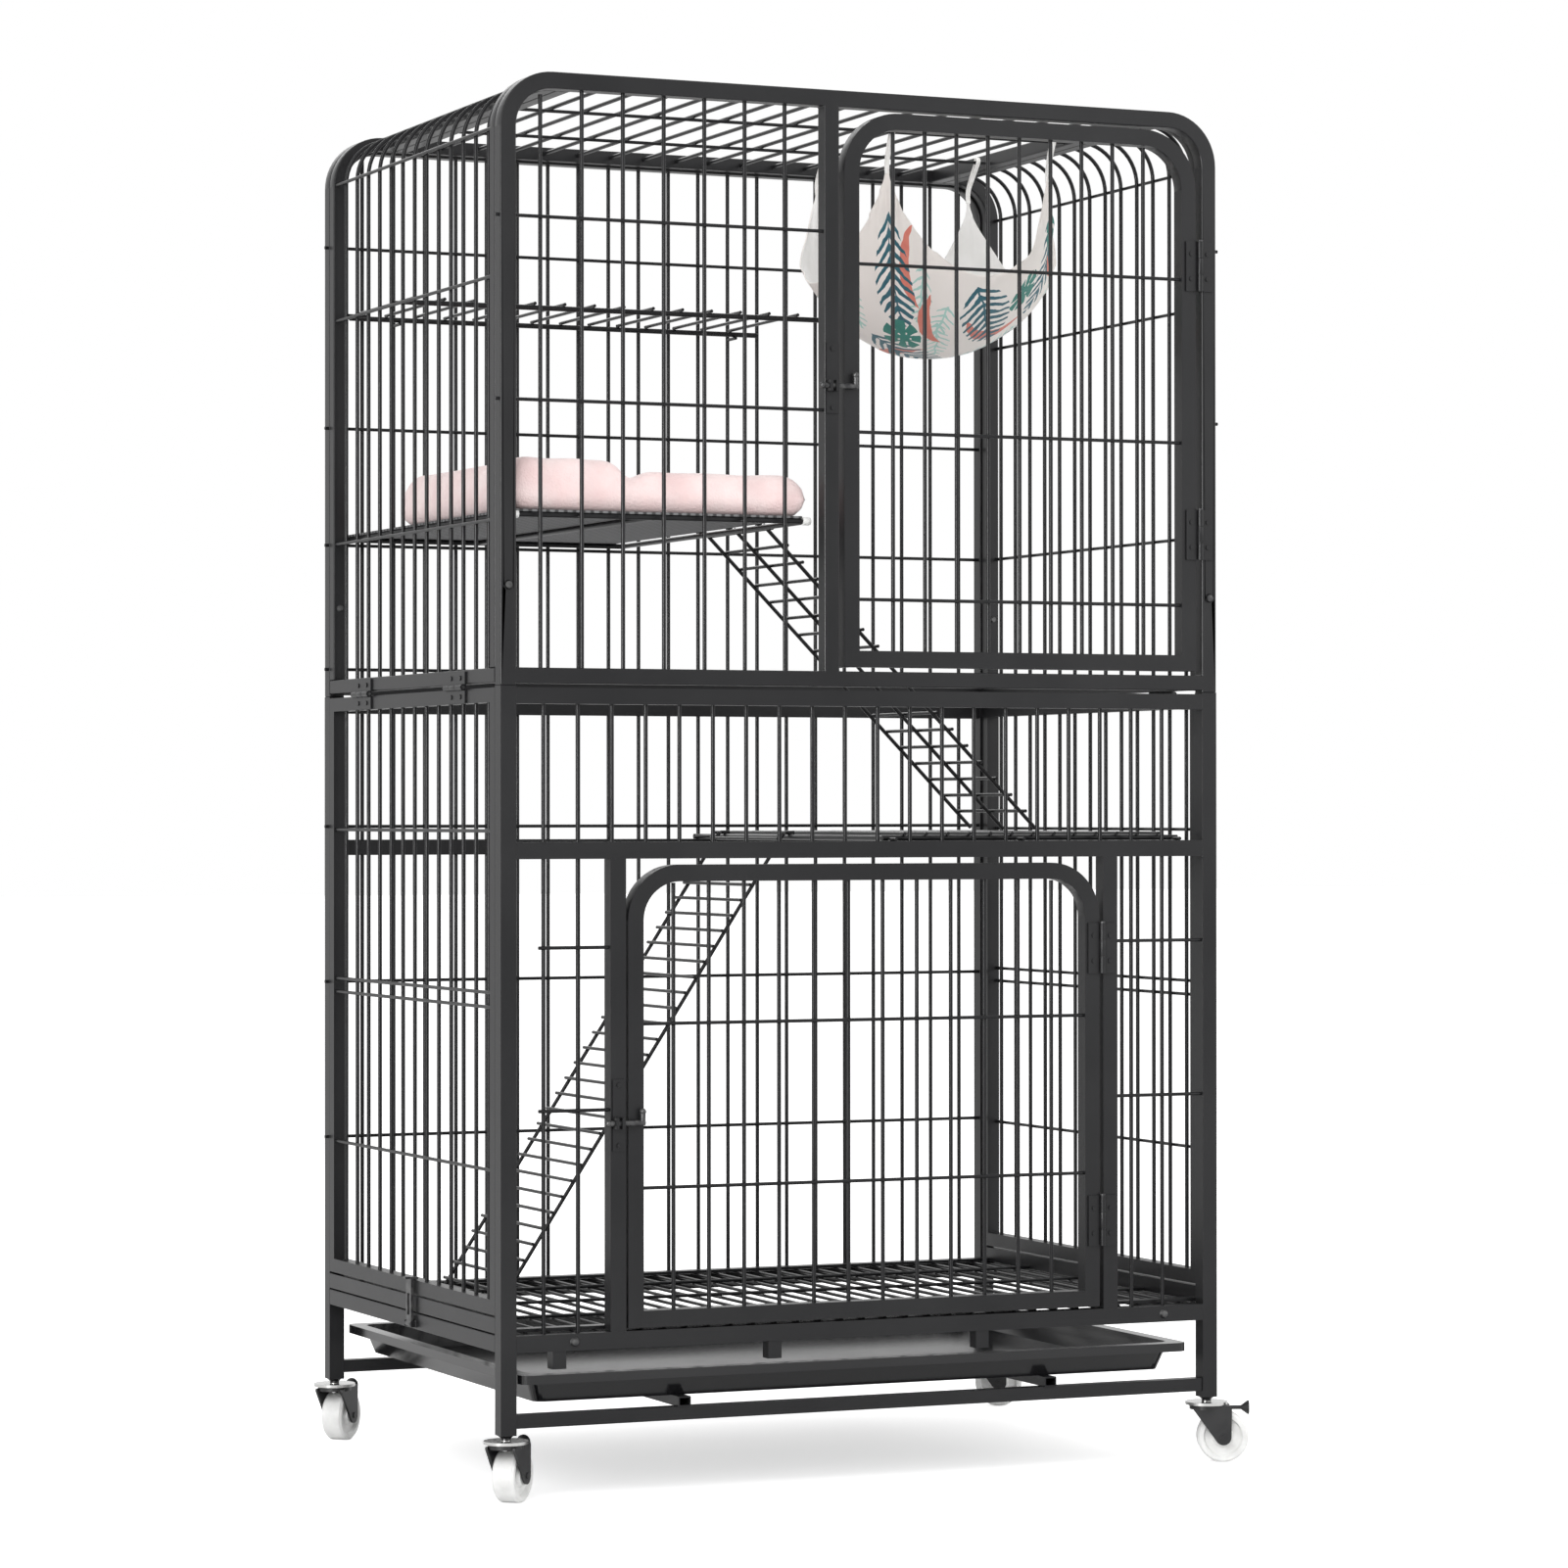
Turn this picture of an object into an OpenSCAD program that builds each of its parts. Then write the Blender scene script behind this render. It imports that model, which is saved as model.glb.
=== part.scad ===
// Tall two-stage cat enclosure: square steel tube, welded wire, shelves, ladders,
// a hammock, a cushion, a pull-out tray and four braked swivel casters.
// Millimetres. +Z is up and the doors face -Y.

/* [Cage] */
// Width over the posts
cage_w = 720; // [640:10:900]
// Depth over the posts
cage_d = 490; // [440:10:620]
// Height from the floor to the top of the hoops
cage_h = 1271; // [1240:1:1400]
// Outside size of the square tube
tube = 15; // [14:0.5:18]
// Wall of the square tube
tube_wall = 1.2; // [1:0.1:1.5]
// Outer radius of the bends at the top of the hoops
hoop_r = 50; // [44:1:70]
// Outside size of the lighter tube in the side panels
side_tube = 13; // [10:0.5:13]

/* [Heights] */
// Underside of the posts above the floor
post_z = 61; // [58:1:72]
// Top of the lower stage, where the hoops plug in
stage_z = 725; // [700:1:760]
// Height of the band of wires under the upper stage
band_h = 138; // [110:1:170]
// Underside of the bottom rails
bottom_rail_z = 134; // [130:1:145]
// Snap buttons above the joint between the stages
snap_rise = 89; // [60:1:100]

/* [Wires] */
// Diameter of the upright wires
bar_d = 3.8; // [3:0.1:4.2]
// Diameter of the cross wires
cross_d = 3.2; // [2.5:0.1:3.6]
// Pitch of the upright wires in the rear wall
rear_pitch = 32.4; // [28:0.2:36]
// Pitch of the upright wires in the sides
side_pitch = 33; // [28:0.5:36]
// Pitch of the wires in the roof
roof_pitch = 35.3; // [30:0.1:38]
// Pitch of the upright wires beside the upper door
grille_pitch = 39.6; // [34:0.2:42]
// First upright wire beside the upper door, from the left edge
grille_first = 40.5; // [34:0.5:48]
// Pitch of the upright wires in the band and beside the lower door
band_pitch = 32.75; // [28:0.25:36]
// First upright wire of the band, from the left edge
band_first = 43.25; // [36:0.25:50]
// Pitch of the wires in the floor
floor_pitch = 22; // [18:1:30]

/* [Upper door] */
// Width of the upper door
upper_door_w = 364; // [330:1:364]
// Outer radius of the upper door's top corners
upper_door_r = 55; // [46:1:70]
// Pitch of the wires in the upper door
upper_door_pitch = 32.45; // [28:0.05:36]

/* [Lower door] */
// Width of the lower door
lower_door_w = 474; // [420:1:474]
// Left edge of the lower door
lower_door_x = 121.5; // [100:0.5:130]
// Outer radius of the lower door's top corners
lower_door_r = 50; // [44:1:70]
// Pitch of the wires in the lower door
lower_door_pitch = 34.6; // [30:0.1:38]

/* [Hinges and latches] */
// Length of a door hinge
hinge_len = 47; // [36:1:60]
// Diameter of a hinge pin
pin_d = 3; // [2.4:0.1:3.4]
// Travel of a latch bolt
bolt_travel = 15.5; // [14:0.5:18]

/* [Tray] */
// Width of the tray over its rim
tray_w = 668; // [560:2:680]
// Depth of the tray over its rim
tray_d = 484; // [420:2:484]
// Height of the tray
tray_h = 26; // [20:1:30]
// Wall of the tray
tray_wall = 2; // [1.5:0.1:3]

/* [Casters] */
// Diameter of a caster wheel
wheel_d = 48; // [44:1:50]
// Width of a caster wheel
wheel_w = 22; // [18:1:24]
// Distance of the axle behind the swivel axis
trail = 15; // [12:1:18]
// Diameter of a caster axle
axle_d = 6; // [5:0.5:7]

/* [Furniture] */
// Right-hand edge of the cushion shelf
shelf_w = 308; // [260:2:330]
// Height of the cushion shelf
shelf_z = 878; // [850:1:920]
// Depth of the wire shelf
wire_shelf_d = 164; // [120:2:220]
// Height of the wire shelf
wire_shelf_z = 1094; // [1060:1:1130]
// Thickness of the cushion
cushion_h = 50; // [30:1:60]
// Share of that height lost from the left third to the right
cushion_lean = 0.22; // [0:0.02:0.4]
// Width of the upper ladder
upper_ladder_w = 140; // [120:2:180]
// Spacing of the rungs along the upper ladder
upper_rung_pitch = 22; // [18:1:30]
// Width of the lower ladder
lower_ladder_w = 158; // [120:2:180]
// Spacing of the rungs along the lower ladder
lower_rung_pitch = 17.5; // [15:0.5:26]
// Left edge of the second floor
floor2_x = 381; // [340:1:400]
// Lowest point of the hammock
hammock_low_z = 1047; // [1030:1:1090]

/* [Hidden] */
// Clearances
seat_gap = 0.3;
weld_gap = 0.02;
pin_gap = 0.05;
slide_gap = 0.2;

// Rails
rail_h = 14;
base_rail = 12;
base_rail_z = post_z + 6;
upper_rail_z = stage_z + 2;
lower_top_rail_z = stage_z - 16;
band_rail_z = lower_top_rail_z - band_h;
bottom_rail_top = bottom_rail_z + tube;
floor_frame_z = bottom_rail_top + 1.5;
floor_frame_h = 14;
panel_z = floor_frame_z + floor_frame_h + 2;
panel_top = stage_z - 1.5;
stub = tube - 2 * tube_wall - 2 * slide_gap;
stub_rise = snap_rise + 26;
snap_z = stage_z + snap_rise;
snap_d = 6.4;

// Planes and lines of the frame
in_x = cage_w - tube;
in_y = cage_d - tube;
mid = tube / 2;
side_y0 = tube + seat_gap;
side_y1 = cage_d - tube - seat_gap;
bend_x = hoop_r;
bend_z = cage_h - hoop_r;
cross_off = (bar_d + cross_d) / 2 + weld_gap;
mullion_x = cage_w - tube - 6.5 - upper_door_w - 5 - tube;

// Doors
upper_door_x = mullion_x + tube + 5;
upper_door_z0 = upper_rail_z + rail_h + 4;
upper_door_z1 = cage_h - tube - 3;
lower_door_z0 = bottom_rail_top + 2.5;
lower_door_z1 = band_rail_z - 5.5;
left_post_x = lower_door_x - 2 - tube;
right_post_x = lower_door_x + lower_door_w + 4;
knuckle_r = pin_d / 2 + 1.4;
axis_y = -knuckle_r;
leaf_t = 1.6;
leaf_w = 12.5;
screw_d = 4.4;
upper_axis_x = upper_door_x + upper_door_w + 3.2;
lower_axis_x = lower_door_x + lower_door_w + 2;
upper_hinges = [850, 1103];
lower_hinges = [208, 462];
panel_axis_z = stage_z + 0.25;
panel_hinges = [88, cage_d - 95 - hinge_len];

// Cross wire heights
upper_door_cross = [807, 960, 1114];
lower_door_cross = [276, 423];
grille_cross = [979, 1142];
side_cross = [873, 1090, cage_h - 49];
rear_upper_cross = [stage_z + 27, 873, 987, 1163];
rear_lower_cross = [297, 448, 599];
panel_cross = [294, 439, 452, 596];
small_cross = [347, 492];

// Latches
upper_latch_z = 1001;
lower_latch_z = 335;
bolt_d = 5;
// Places of the two guides from the plate's middle, and the width of each
guide_x = [-4, 2];
guide_w = 3;
// Place of the bolt's upright handle, clear of the guide when it is drawn back
handle_x = guide_x[1] + guide_w / 2 + slide_gap + bolt_travel + bolt_d / 2;
bolt_back = 10;
bolt_len = bolt_back + handle_x + 2;
plate_h = 64;
plate_w = 12;
plate_t = 1.5;
bolt_y = -plate_t - bolt_d / 2 - 0.6;
clip_y = cage_d / 2 - 12;
clip_w = 14;
clip_z = bottom_rail_z + 5;
clip_pin_d = 2.4;
clip_x = -3.2;

// Tray
runner_h = 9;
runner_w = 12;
runner_off = 184;
tray_z = base_rail_z + base_rail + runner_h + weld_gap * 10;
tray_x = (cage_w - tray_w) / 2 - 8;
tray_y = -6;
tray_lip = 13;
tray_slope = 9;

// Casters
wheel_r = wheel_d / 2;
race_r = 20;
fork_r = 16;
fork_top = post_z - 7.5;
left_yaw = 46;
right_yaw = -24;
pedal_u = trail + 5;
pedal_z = wheel_d + 2.7;
pedal_len = 20;
pedal_foot_r = 6.5;
pedal_pin_d = 3;
pedal_boss_r = 2.4;
cheek_in = wheel_w / 2 + 1.2;
cheek_t = 2.2;
pedal_half = cheek_in - 1;
corners = [[mid, mid], [cage_w - mid, mid], [mid, cage_d - mid], [cage_w - mid, cage_d - mid]];
yaws = [left_yaw, right_yaw, left_yaw, right_yaw];

// Furniture
rod_d = 5;
floor2_z = band_rail_z + tube + rod_d / 2;
upper_ladder_y = 132;
lower_ladder_y = 237;
ladder_d = 3.6;
roof_rail_x = hoop_r;
roof_rail_z = cage_h - side_tube;
roof_lo = roof_rail_x + 2 * side_tube + 1;
roof_count = floor((cage_w - 2 * roof_lo) / roof_pitch - 0.4);
roof_first = (cage_w - (roof_count - 1) * roof_pitch) / 2;
roof_cross_y = [cage_d / 3, cage_d * 2 / 3];
side_count = floor((side_y1 - side_y0 - 2 * side_tube) / side_pitch);
side_first = (cage_d - (side_count - 1) * side_pitch) / 2;
function on_side_wire(y) = side_first + round((y - side_first) / side_pitch) * side_pitch;
rear_first = 36;
function on_rear_wire(x) = rear_first + round((x - rear_first) / rear_pitch) * rear_pitch;
hammock_x = [459, 631];
hammock_y = [roof_cross_y[0] + 11, roof_cross_y[1] + 19.5];
hammock_top_z = 1234;
hammock_t = 2.4;

// Middle of the whole outline, which is where the origin stands
reach = pedal_u + pedal_len;
out_right = cage_w - mid + reach * cos(right_yaw) - pedal_foot_r * sin(right_yaw);
out_front = mid + reach * sin(right_yaw) - pedal_foot_r * cos(right_yaw);
out_rear = cage_d - mid + reach * sin(left_yaw) + pedal_foot_r * cos(left_yaw);
centre_x = (mid - race_r + out_right) / 2;
centre_y = (out_front + out_rear) / 2;

$fn = 32;

module placed() {
  translate([-centre_x, -centre_y, 0]) children();
}

// Square tube along an axis, from its low corner
module tube_x(x0, x1, y, z, w = tube, h = tube) {
  difference() {
    translate([x0, y, z]) cube([x1 - x0, w, h]);
    translate([x0 - 1, y + tube_wall, z + tube_wall])
      cube([x1 - x0 + 2, w - 2 * tube_wall, h - 2 * tube_wall]);
  }
}

module tube_y(y0, y1, x, z, w = tube, h = tube) {
  difference() {
    translate([x, y0, z]) cube([w, y1 - y0, h]);
    translate([x + tube_wall, y0 - 1, z + tube_wall])
      cube([w - 2 * tube_wall, y1 - y0 + 2, h - 2 * tube_wall]);
  }
}

module tube_z(z0, z1, x, y, w = tube, d = tube) {
  difference() {
    translate([x, y, z0]) cube([w, d, z1 - z0]);
    translate([x + tube_wall, y + tube_wall, z0 - 1])
      cube([w - 2 * tube_wall, d - 2 * tube_wall, z1 - z0 + 2]);
  }
}

// Quarter bend of square tube in the XZ plane, for the right-hand top corner
module tube_bend(x, y, z, r, t = tube) {
  translate([x, y + t, z]) rotate([90, 0, 0]) rotate_extrude(angle = 90, $fn = 64)
    translate([r - t, 0]) difference() {
      square([t, t]);
      translate([tube_wall, tube_wall]) square([t - 2 * tube_wall, t - 2 * tube_wall]);
    }
}

module tube_bend_left(x, y, z, r, t = tube) {
  translate([2 * x, 0, 0]) mirror([1, 0, 0]) tube_bend(x, y, z, r, t);
}

module wire_x(x0, x1, y, z, d = cross_d) {
  translate([x0, y, z]) rotate([0, 90, 0]) cylinder(h = x1 - x0, d = d);
}

module wire_y(y0, y1, x, z, d = cross_d) {
  translate([x, y0, z]) rotate([-90, 0, 0]) cylinder(h = y1 - y0, d = d);
}

module wire_z(z0, z1, x, y, d = bar_d) {
  translate([x, y, z0]) cylinder(h = z1 - z0, d = d);
}

// Uprights from the first one to the last that leaves room beside the tube at hi
edge_room = 12;
function last_of(first, hi, pitch) = floor((hi - edge_room - first) / pitch);
module upright_row(first, hi, pitch, z0, z1, y) {
  for (i = [0 : last_of(first, hi, pitch)])
    wire_z(z0 + weld_gap, z1 - weld_gap, first + i * pitch, y);
}

// Portal of square tube: two legs, two bends and a top bar
module portal(x0, x1, z0, z1, y, r, t = tube) {
  tube_z(z0, z1 - r, x0, y, t, t);
  tube_z(z0, z1 - r, x1 - t, y, t, t);
  tube_bend(x1 - r, y, z1 - r, r, t);
  tube_bend_left(x0 + r, y, z1 - r, r, t);
  tube_x(x0 + r, x1 - r, y, z1 - t, t, t);
}

// Lower posts with the reduced stubs that the hoops plug over
module post(x, y) {
  difference() {
    union() {
      tube_z(post_z, stage_z, x, y);
      tube_z(stage_z - 24, stage_z, x + tube_wall, y + tube_wall, tube - 2 * tube_wall,
             tube - 2 * tube_wall);
      tube_z(stage_z, stage_z + stub_rise, x + tube_wall + slide_gap, y + tube_wall + slide_gap,
             stub, stub);
      translate([x + tube_wall + slide_gap, y + tube_wall + slide_gap, stage_z - 2])
        difference() {
          cube([stub, stub, 4]);
          translate([tube_wall, tube_wall, -1])
            cube([stub - 2 * tube_wall, stub - 2 * tube_wall, 6]);
        }
    }
    translate([x + mid, y - 1, snap_z]) rotate([-90, 0, 0]) cylinder(h = mid, d = snap_d + 0.4);
  }
}

module front_posts() {
  color("#3b3b3b") {
    post(0, 0);
    post(in_x, 0);
  }
}

module to_rear() {
  translate([0, cage_d, 0]) mirror([0, 1, 0]) children();
}

module rear_posts() {
  to_rear() front_posts();
}

module lower_rails(y) {
  tube_x(tube + weld_gap, in_x - weld_gap, y, lower_top_rail_z, tube, rail_h + 0.5);
  tube_x(tube + weld_gap, in_x - weld_gap, y, bottom_rail_z);
  tube_x(tube + weld_gap, in_x - weld_gap, y + (tube - base_rail) / 2, base_rail_z,
         base_rail, base_rail);
}

bolt_holes = [70, cage_w - 57];
tab_x = [56, 265, 474];
tab_w = 13;
tab_h = 16;
module front_lower_frame() {
  color("#3b3b3b") {
    difference() {
      lower_rails(0);
      for (x = bolt_holes) translate([x, -1, bottom_rail_z + mid]) rotate([-90, 0, 0])
        cylinder(h = tube, d = 6.2);
    }
    tube_x(tube + weld_gap, in_x - weld_gap, 0, band_rail_z);
    for (x = tab_x) translate([x - tab_w / 2, 1, bottom_rail_z - tab_h])
      cube([tab_w, tab_w, tab_h - weld_gap]);
    for (x = [left_post_x, right_post_x])
      tube_z(bottom_rail_top + weld_gap, band_rail_z - weld_gap, x, 0);
  }
}

module rear_lower_frame() {
  color("#3b3b3b") {
    lower_rails(in_y);
    tube_x(tube + weld_gap, in_x - weld_gap, in_y, band_rail_z);
  }
}

// Side rails of the base, each with two ears and a pin that carry a clip
module base_side_rails() {
  ear = 2;
  lo = clip_y - clip_w / 2 - seat_gap - ear;
  hi = clip_y + clip_w / 2 + seat_gap;
  color("#3b3b3b") both_sides() {
    tube_y(tube + weld_gap, in_y - weld_gap, 0, bottom_rail_z);
    for (y = [lo, hi]) translate([clip_x - 2.2, y, clip_z - 3]) cube([2.2 - clip_x, ear, 6]);
    wire_y(lo, hi + ear, clip_x, clip_z, clip_pin_d);
  }
}

module tray_runners() {
  color("#333333") for (s = [-1, 1])
    tube_y(0, cage_d, cage_w / 2 + s * runner_off - runner_w / 2,
           base_rail_z + base_rail + weld_gap, runner_w, runner_h);
}

// Floor: light side tubes joined by flat bars, with close wires from front to back below them
floor_bar_t = 3;
module floor_grid() {
  t = side_tube;
  color("#333333") {
    for (x = [0, cage_w - t]) tube_y(side_y0, side_y1, x, floor_frame_z, t, floor_frame_h);
    for (y = [side_y0 + 0.7, side_y1 - 0.7 - t])
      translate([t + weld_gap, y, floor_frame_z]) cube([cage_w - 2 * t - 2 * weld_gap, t, floor_bar_t]);
    lo = t;
    count = floor((cage_w - 2 * lo) / floor_pitch);
    first = (cage_w - (count - 1) * floor_pitch) / 2;
    for (i = [0 : count - 1])
      wire_y(side_y0 + 0.7, side_y1 - 0.7, first + i * floor_pitch,
             floor_frame_z - cross_d / 2 - weld_gap, cross_d);
    for (f = [1, 2, 3])
      wire_x(lo + weld_gap, cage_w - lo - weld_gap, cage_d * f / 4, floor_frame_z + cross_d / 2,
             cross_d);
  }
}

module front_lower_grille() {
  y = mid;
  z0 = bottom_rail_top;
  z1 = band_rail_z;
  color("#2e2e2e") {
    upright_row(band_first, in_x, band_pitch, z1 + tube, lower_top_rail_z, y);
    for (i = [0 : last_of(band_first, in_x, band_pitch)]) {
      x = band_first + i * band_pitch;
      if (x < left_post_x - edge_room || x > right_post_x + tube + edge_room)
        wire_z(z0 + weld_gap, z1 - weld_gap, x, y);
    }
    for (z = small_cross) {
      wire_x(band_first - 6, left_post_x - weld_gap, y - cross_off, z);
      wire_x(right_post_x + tube + weld_gap, in_x - weld_gap, y - cross_off, z);
    }
  }
}

module rear_lower_grille() {
  y = in_y + mid;
  color("#2e2e2e") {
    upright_row(rear_first, in_x, rear_pitch, bottom_rail_top, band_rail_z, y);
    upright_row(rear_first, in_x, rear_pitch, band_rail_z + tube, lower_top_rail_z, y);
    for (z = rear_lower_cross) wire_x(tube + weld_gap, in_x - weld_gap, y - cross_off, z);
    cross_ends(y - cross_off, rear_lower_cross);
  }
}

// Upper frames: hoops that plug over the stubs of the posts
module hoop(y) {
  difference() {
    portal(0, cage_w, stage_z + weld_gap, cage_h, y, hoop_r);
    for (x = [mid, cage_w - mid]) translate([x, y - 1, snap_z]) rotate([-90, 0, 0])
      cylinder(h = 4, d = snap_d + 0.4);
  }
  tube_x(tube, in_x, y, upper_rail_z, tube, rail_h);
}

module front_hoop() {
  color("#404040") {
    hoop(0);
    tube_z(upper_rail_z + rail_h, cage_h - tube, mullion_x, 0);
  }
}

module rear_hoop() {
  color("#404040") to_rear() hoop(0);
}

wire_end = 3.5;
module cross_ends(y, heights) {
  both_sides() for (z = heights) wire_x(-wire_end, -weld_gap, y, z);
}

module front_upper_grille() {
  z0 = upper_rail_z + rail_h;
  z1 = cage_h - tube;
  color("#2e2e2e") {
    for (i = [0 : last_of(grille_first, mullion_x, grille_pitch)]) {
      x = grille_first + i * grille_pitch;
      wire_z(z0 + weld_gap, z1 - weld_gap - (x < hoop_r ? 5 : 0), x, mid);
    }
    for (z = grille_cross) wire_x(tube + weld_gap, mullion_x - weld_gap, mid - cross_off, z);
    cross_ends(mid - cross_off, grille_cross);
  }
}

module rear_upper_grille() {
  y = in_y + mid;
  color("#2e2e2e") {
    for (i = [0 : last_of(rear_first, in_x, rear_pitch)]) {
      x = rear_first + i * rear_pitch;
      drop = x < hoop_r || x > cage_w - hoop_r ? 5 : 0;
      wire_z(upper_rail_z + rail_h + weld_gap, cage_h - tube - weld_gap - drop, x, y);
    }
    for (z = rear_upper_cross) wire_x(tube + weld_gap, in_x - weld_gap, y - cross_off, z);
    cross_ends(y - cross_off, rear_upper_cross);
  }
}

// Upper side walls and roof: two light arches, four long rails and bent wires
wire_bend_r = hoop_r - side_tube / 2;
module side_roof_frame() {
  t = side_tube;
  color("#3a3a3a") {
    for (y = [side_y0, side_y1 - t])
      portal(0, cage_w, upper_rail_z + weld_gap + t + 1, cage_h, y, hoop_r, t);
    for (x = [0, cage_w - t]) tube_y(side_y0, side_y1, x, upper_rail_z + 1, t, t);
    both_sides() for (x = [roof_rail_x + weld_gap, roof_lo - t])
      tube_y(side_y0 + t + weld_gap, side_y1 - t - weld_gap, x, roof_rail_z, t, t);
  }
}

// Upright wire of the side wall with its quarter bend towards the roof
module side_wire(y) {
  x = side_tube / 2;
  wire_z(upper_rail_z + 1 + side_tube + weld_gap, bend_z - weld_gap, x, y);
  translate([bend_x, y, bend_z]) rotate([90, 0, 0]) rotate_extrude(angle = -90, $fn = 48)
    translate([-wire_bend_r, 0]) circle(d = bar_d);
}

module side_roof_wires() {
  x = side_tube / 2;
  y0 = side_y0 + side_tube + weld_gap;
  y1 = side_y1 - side_tube - weld_gap;
  roof_z = roof_rail_z + side_tube / 2;
  color("#2e2e2e") {
    both_sides() for (i = [0 : side_count - 1]) side_wire(side_first + i * side_pitch);
    both_sides() for (z = side_cross) wire_y(y0, y1, x - cross_off, z);
    for (i = [0 : roof_count - 1]) wire_y(y0, y1, roof_first + i * roof_pitch, roof_z, bar_d);
    for (y = roof_cross_y)
      wire_x(roof_lo + weld_gap, cage_w - roof_lo - weld_gap, y, roof_z - cross_off);
  }
}

// Butt hinge leaf lying on a front face: side is 1 when it reaches right of the axis
module leaf(x, z, side, part) {
  third = hinge_len / 3;
  spans = part == "fixed" ? [0, 2] : [1];
  difference() {
    union() {
      translate([side > 0 ? x + knuckle_r * 0.6 : x - knuckle_r * 0.6 - leaf_w, -leaf_t, z])
        cube([leaf_w, leaf_t, hinge_len]);
      for (s = spans) {
        translate([x, axis_y, z + s * third + 0.2]) cylinder(h = third - 0.4, r = knuckle_r);
        translate([side > 0 ? x : x - knuckle_r, -leaf_t, z + s * third + 0.2])
          cube([knuckle_r, leaf_t, third - 0.4]);
      }
    }
    for (s = part == "fixed" ? [1] : [0, 2])
      translate([x, axis_y, z + s * third]) cylinder(h = third, r = knuckle_r + 0.3);
    translate([x, axis_y, z - 1]) cylinder(h = hinge_len + 2, d = pin_d + 2 * pin_gap);
  }
  for (f = [0.25, 0.75])
    translate([x + side * (knuckle_r + leaf_w / 2 - 0.6), -leaf_t, z + hinge_len * f])
      rotate([90, 0, 0]) cylinder(h = 0.9, d = screw_d);
}

module hinge_pin(h) {
  cylinder(h = h, d = pin_d);
  translate([0, 0, h]) cylinder(h = 1.4, d = pin_d + 2);
}

// The same leaf turned to lie on the outside of a side wall, with its axis along Y
module side_leaf(y, up, part) {
  translate([0, y + hinge_len, panel_axis_z]) rotate([90, 0, 0]) rotate([0, 0, -90])
    leaf(0, 0, up ? -1 : 1, part);
}

module both_sides() {
  children();
  translate([cage_w, 0, 0]) mirror([1, 0, 0]) children();
}

module door_hinge_leaves() {
  color("#3b3b3b") {
    for (z = upper_hinges) leaf(upper_axis_x, z, 1, "fixed");
    for (z = lower_hinges) leaf(lower_axis_x, z, 1, "fixed");
  }
}

module panel_hinge_leaves() {
  color("#4a4a4a") both_sides() for (y = panel_hinges) side_leaf(y, true, "fixed");
}

module hinge_pins() {
  color("#5a5a5a") {
    for (z = upper_hinges) translate([upper_axis_x, axis_y, z]) hinge_pin(hinge_len);
    for (z = lower_hinges) translate([lower_axis_x, axis_y, z]) hinge_pin(hinge_len);
    both_sides() for (y = panel_hinges)
      translate([axis_y, y, panel_axis_z]) rotate([-90, 0, 0]) hinge_pin(hinge_len);
  }
}

// Button-head bolts of the bottom rail and the stops on the front faces
module frame_bolts() {
  color("#5a5a5a") for (x = bolt_holes) translate([x, 0, bottom_rail_z + mid])
    rotate([90, 0, 0]) {
      translate([0, 0, 0.02]) cylinder(h = 2.4, d1 = 9, d2 = 6);
      translate([0, 0, -9]) cylinder(h = 9.02, d = 6);
    }
  color("#5a5a5a") both_sides()
    translate([side_tube / 2, side_y1 - side_tube - weld_gap, snap_z - 3]) rotate([90, 0, 0])
      cylinder(h = 2, d1 = 7, d2 = 4.5);
}

// Latch: a screwed plate with two guides, and a bolt that slides across the door's stile
module latch_plate(x, z) {
  guide = bolt_d + 2 * slide_gap;
  difference() {
    union() {
      translate([x - plate_w / 2, -plate_t, z - 25]) cube([plate_w, plate_t, plate_h]);
      for (g = guide_x) translate([x + g - guide_w / 2, bolt_y - bolt_d / 2 - 1.6, z - 5])
        cube([guide_w, -bolt_y + bolt_d / 2 + 1.6 - plate_t + 0.01, 10]);
    }
    translate([x - plate_w, bolt_y, z]) rotate([0, 90, 0]) cylinder(h = 2 * plate_w, d = guide);
  }
  for (dz = [-20, 34]) translate([x, -plate_t, z + dz]) rotate([90, 0, 0])
    cylinder(h = 1.2, d = 4.4);
}

module latch_plates() {
  color("#333333") {
    latch_plate(mullion_x + mid, upper_latch_z);
    latch_plate(left_post_x + mid, lower_latch_z);
  }
}

module latch_bolt(x, z) {
  color("#7a7a7a") {
    wire_x(x - bolt_back, x - bolt_back + bolt_len, bolt_y, z, bolt_d);
    translate([x + handle_x, bolt_y, z]) cylinder(h = 10, d = bolt_d);
    translate([x + handle_x, bolt_y, z + 10]) sphere(d = bolt_d + 1);
    translate([x - bolt_back - 1.5, bolt_y, z]) sphere(d = bolt_d + 1);
  }
}

// Leaf springs that push the snap buttons out, against the back wall of each stub
spring_t = 0.6;
spring_w = 5;
module snap_spring(x) {
  back = tube - tube_wall - slide_gap - tube_wall - weld_gap;
  translate([x - spring_w / 2, back - spring_t, snap_z - 32]) cube([spring_w, spring_t, 36]);
  translate([x - spring_w / 2, back - 3, snap_z - 32 - spring_t]) cube([spring_w, 3, spring_t]);
}

module snap_springs() {
  color("#777777") for (x = [mid, cage_w - mid]) {
    snap_spring(x);
    to_rear() snap_spring(x);
  }
}

// Button on the free leg of its spring, pressed inwards by hand to part the stages
module snap_button(x) {
  color("#6a6a6a") translate([x, 0, snap_z]) {
    rotate([-90, 0, 0]) translate([0, 0, -2]) cylinder(h = 5, d = snap_d);
    rotate([-90, 0, 0]) translate([0, 0, 3]) cylinder(h = 1, d = 9);
    translate([-spring_w / 2, 4, -28]) cube([spring_w, spring_t, 32]);
  }
}

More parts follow.
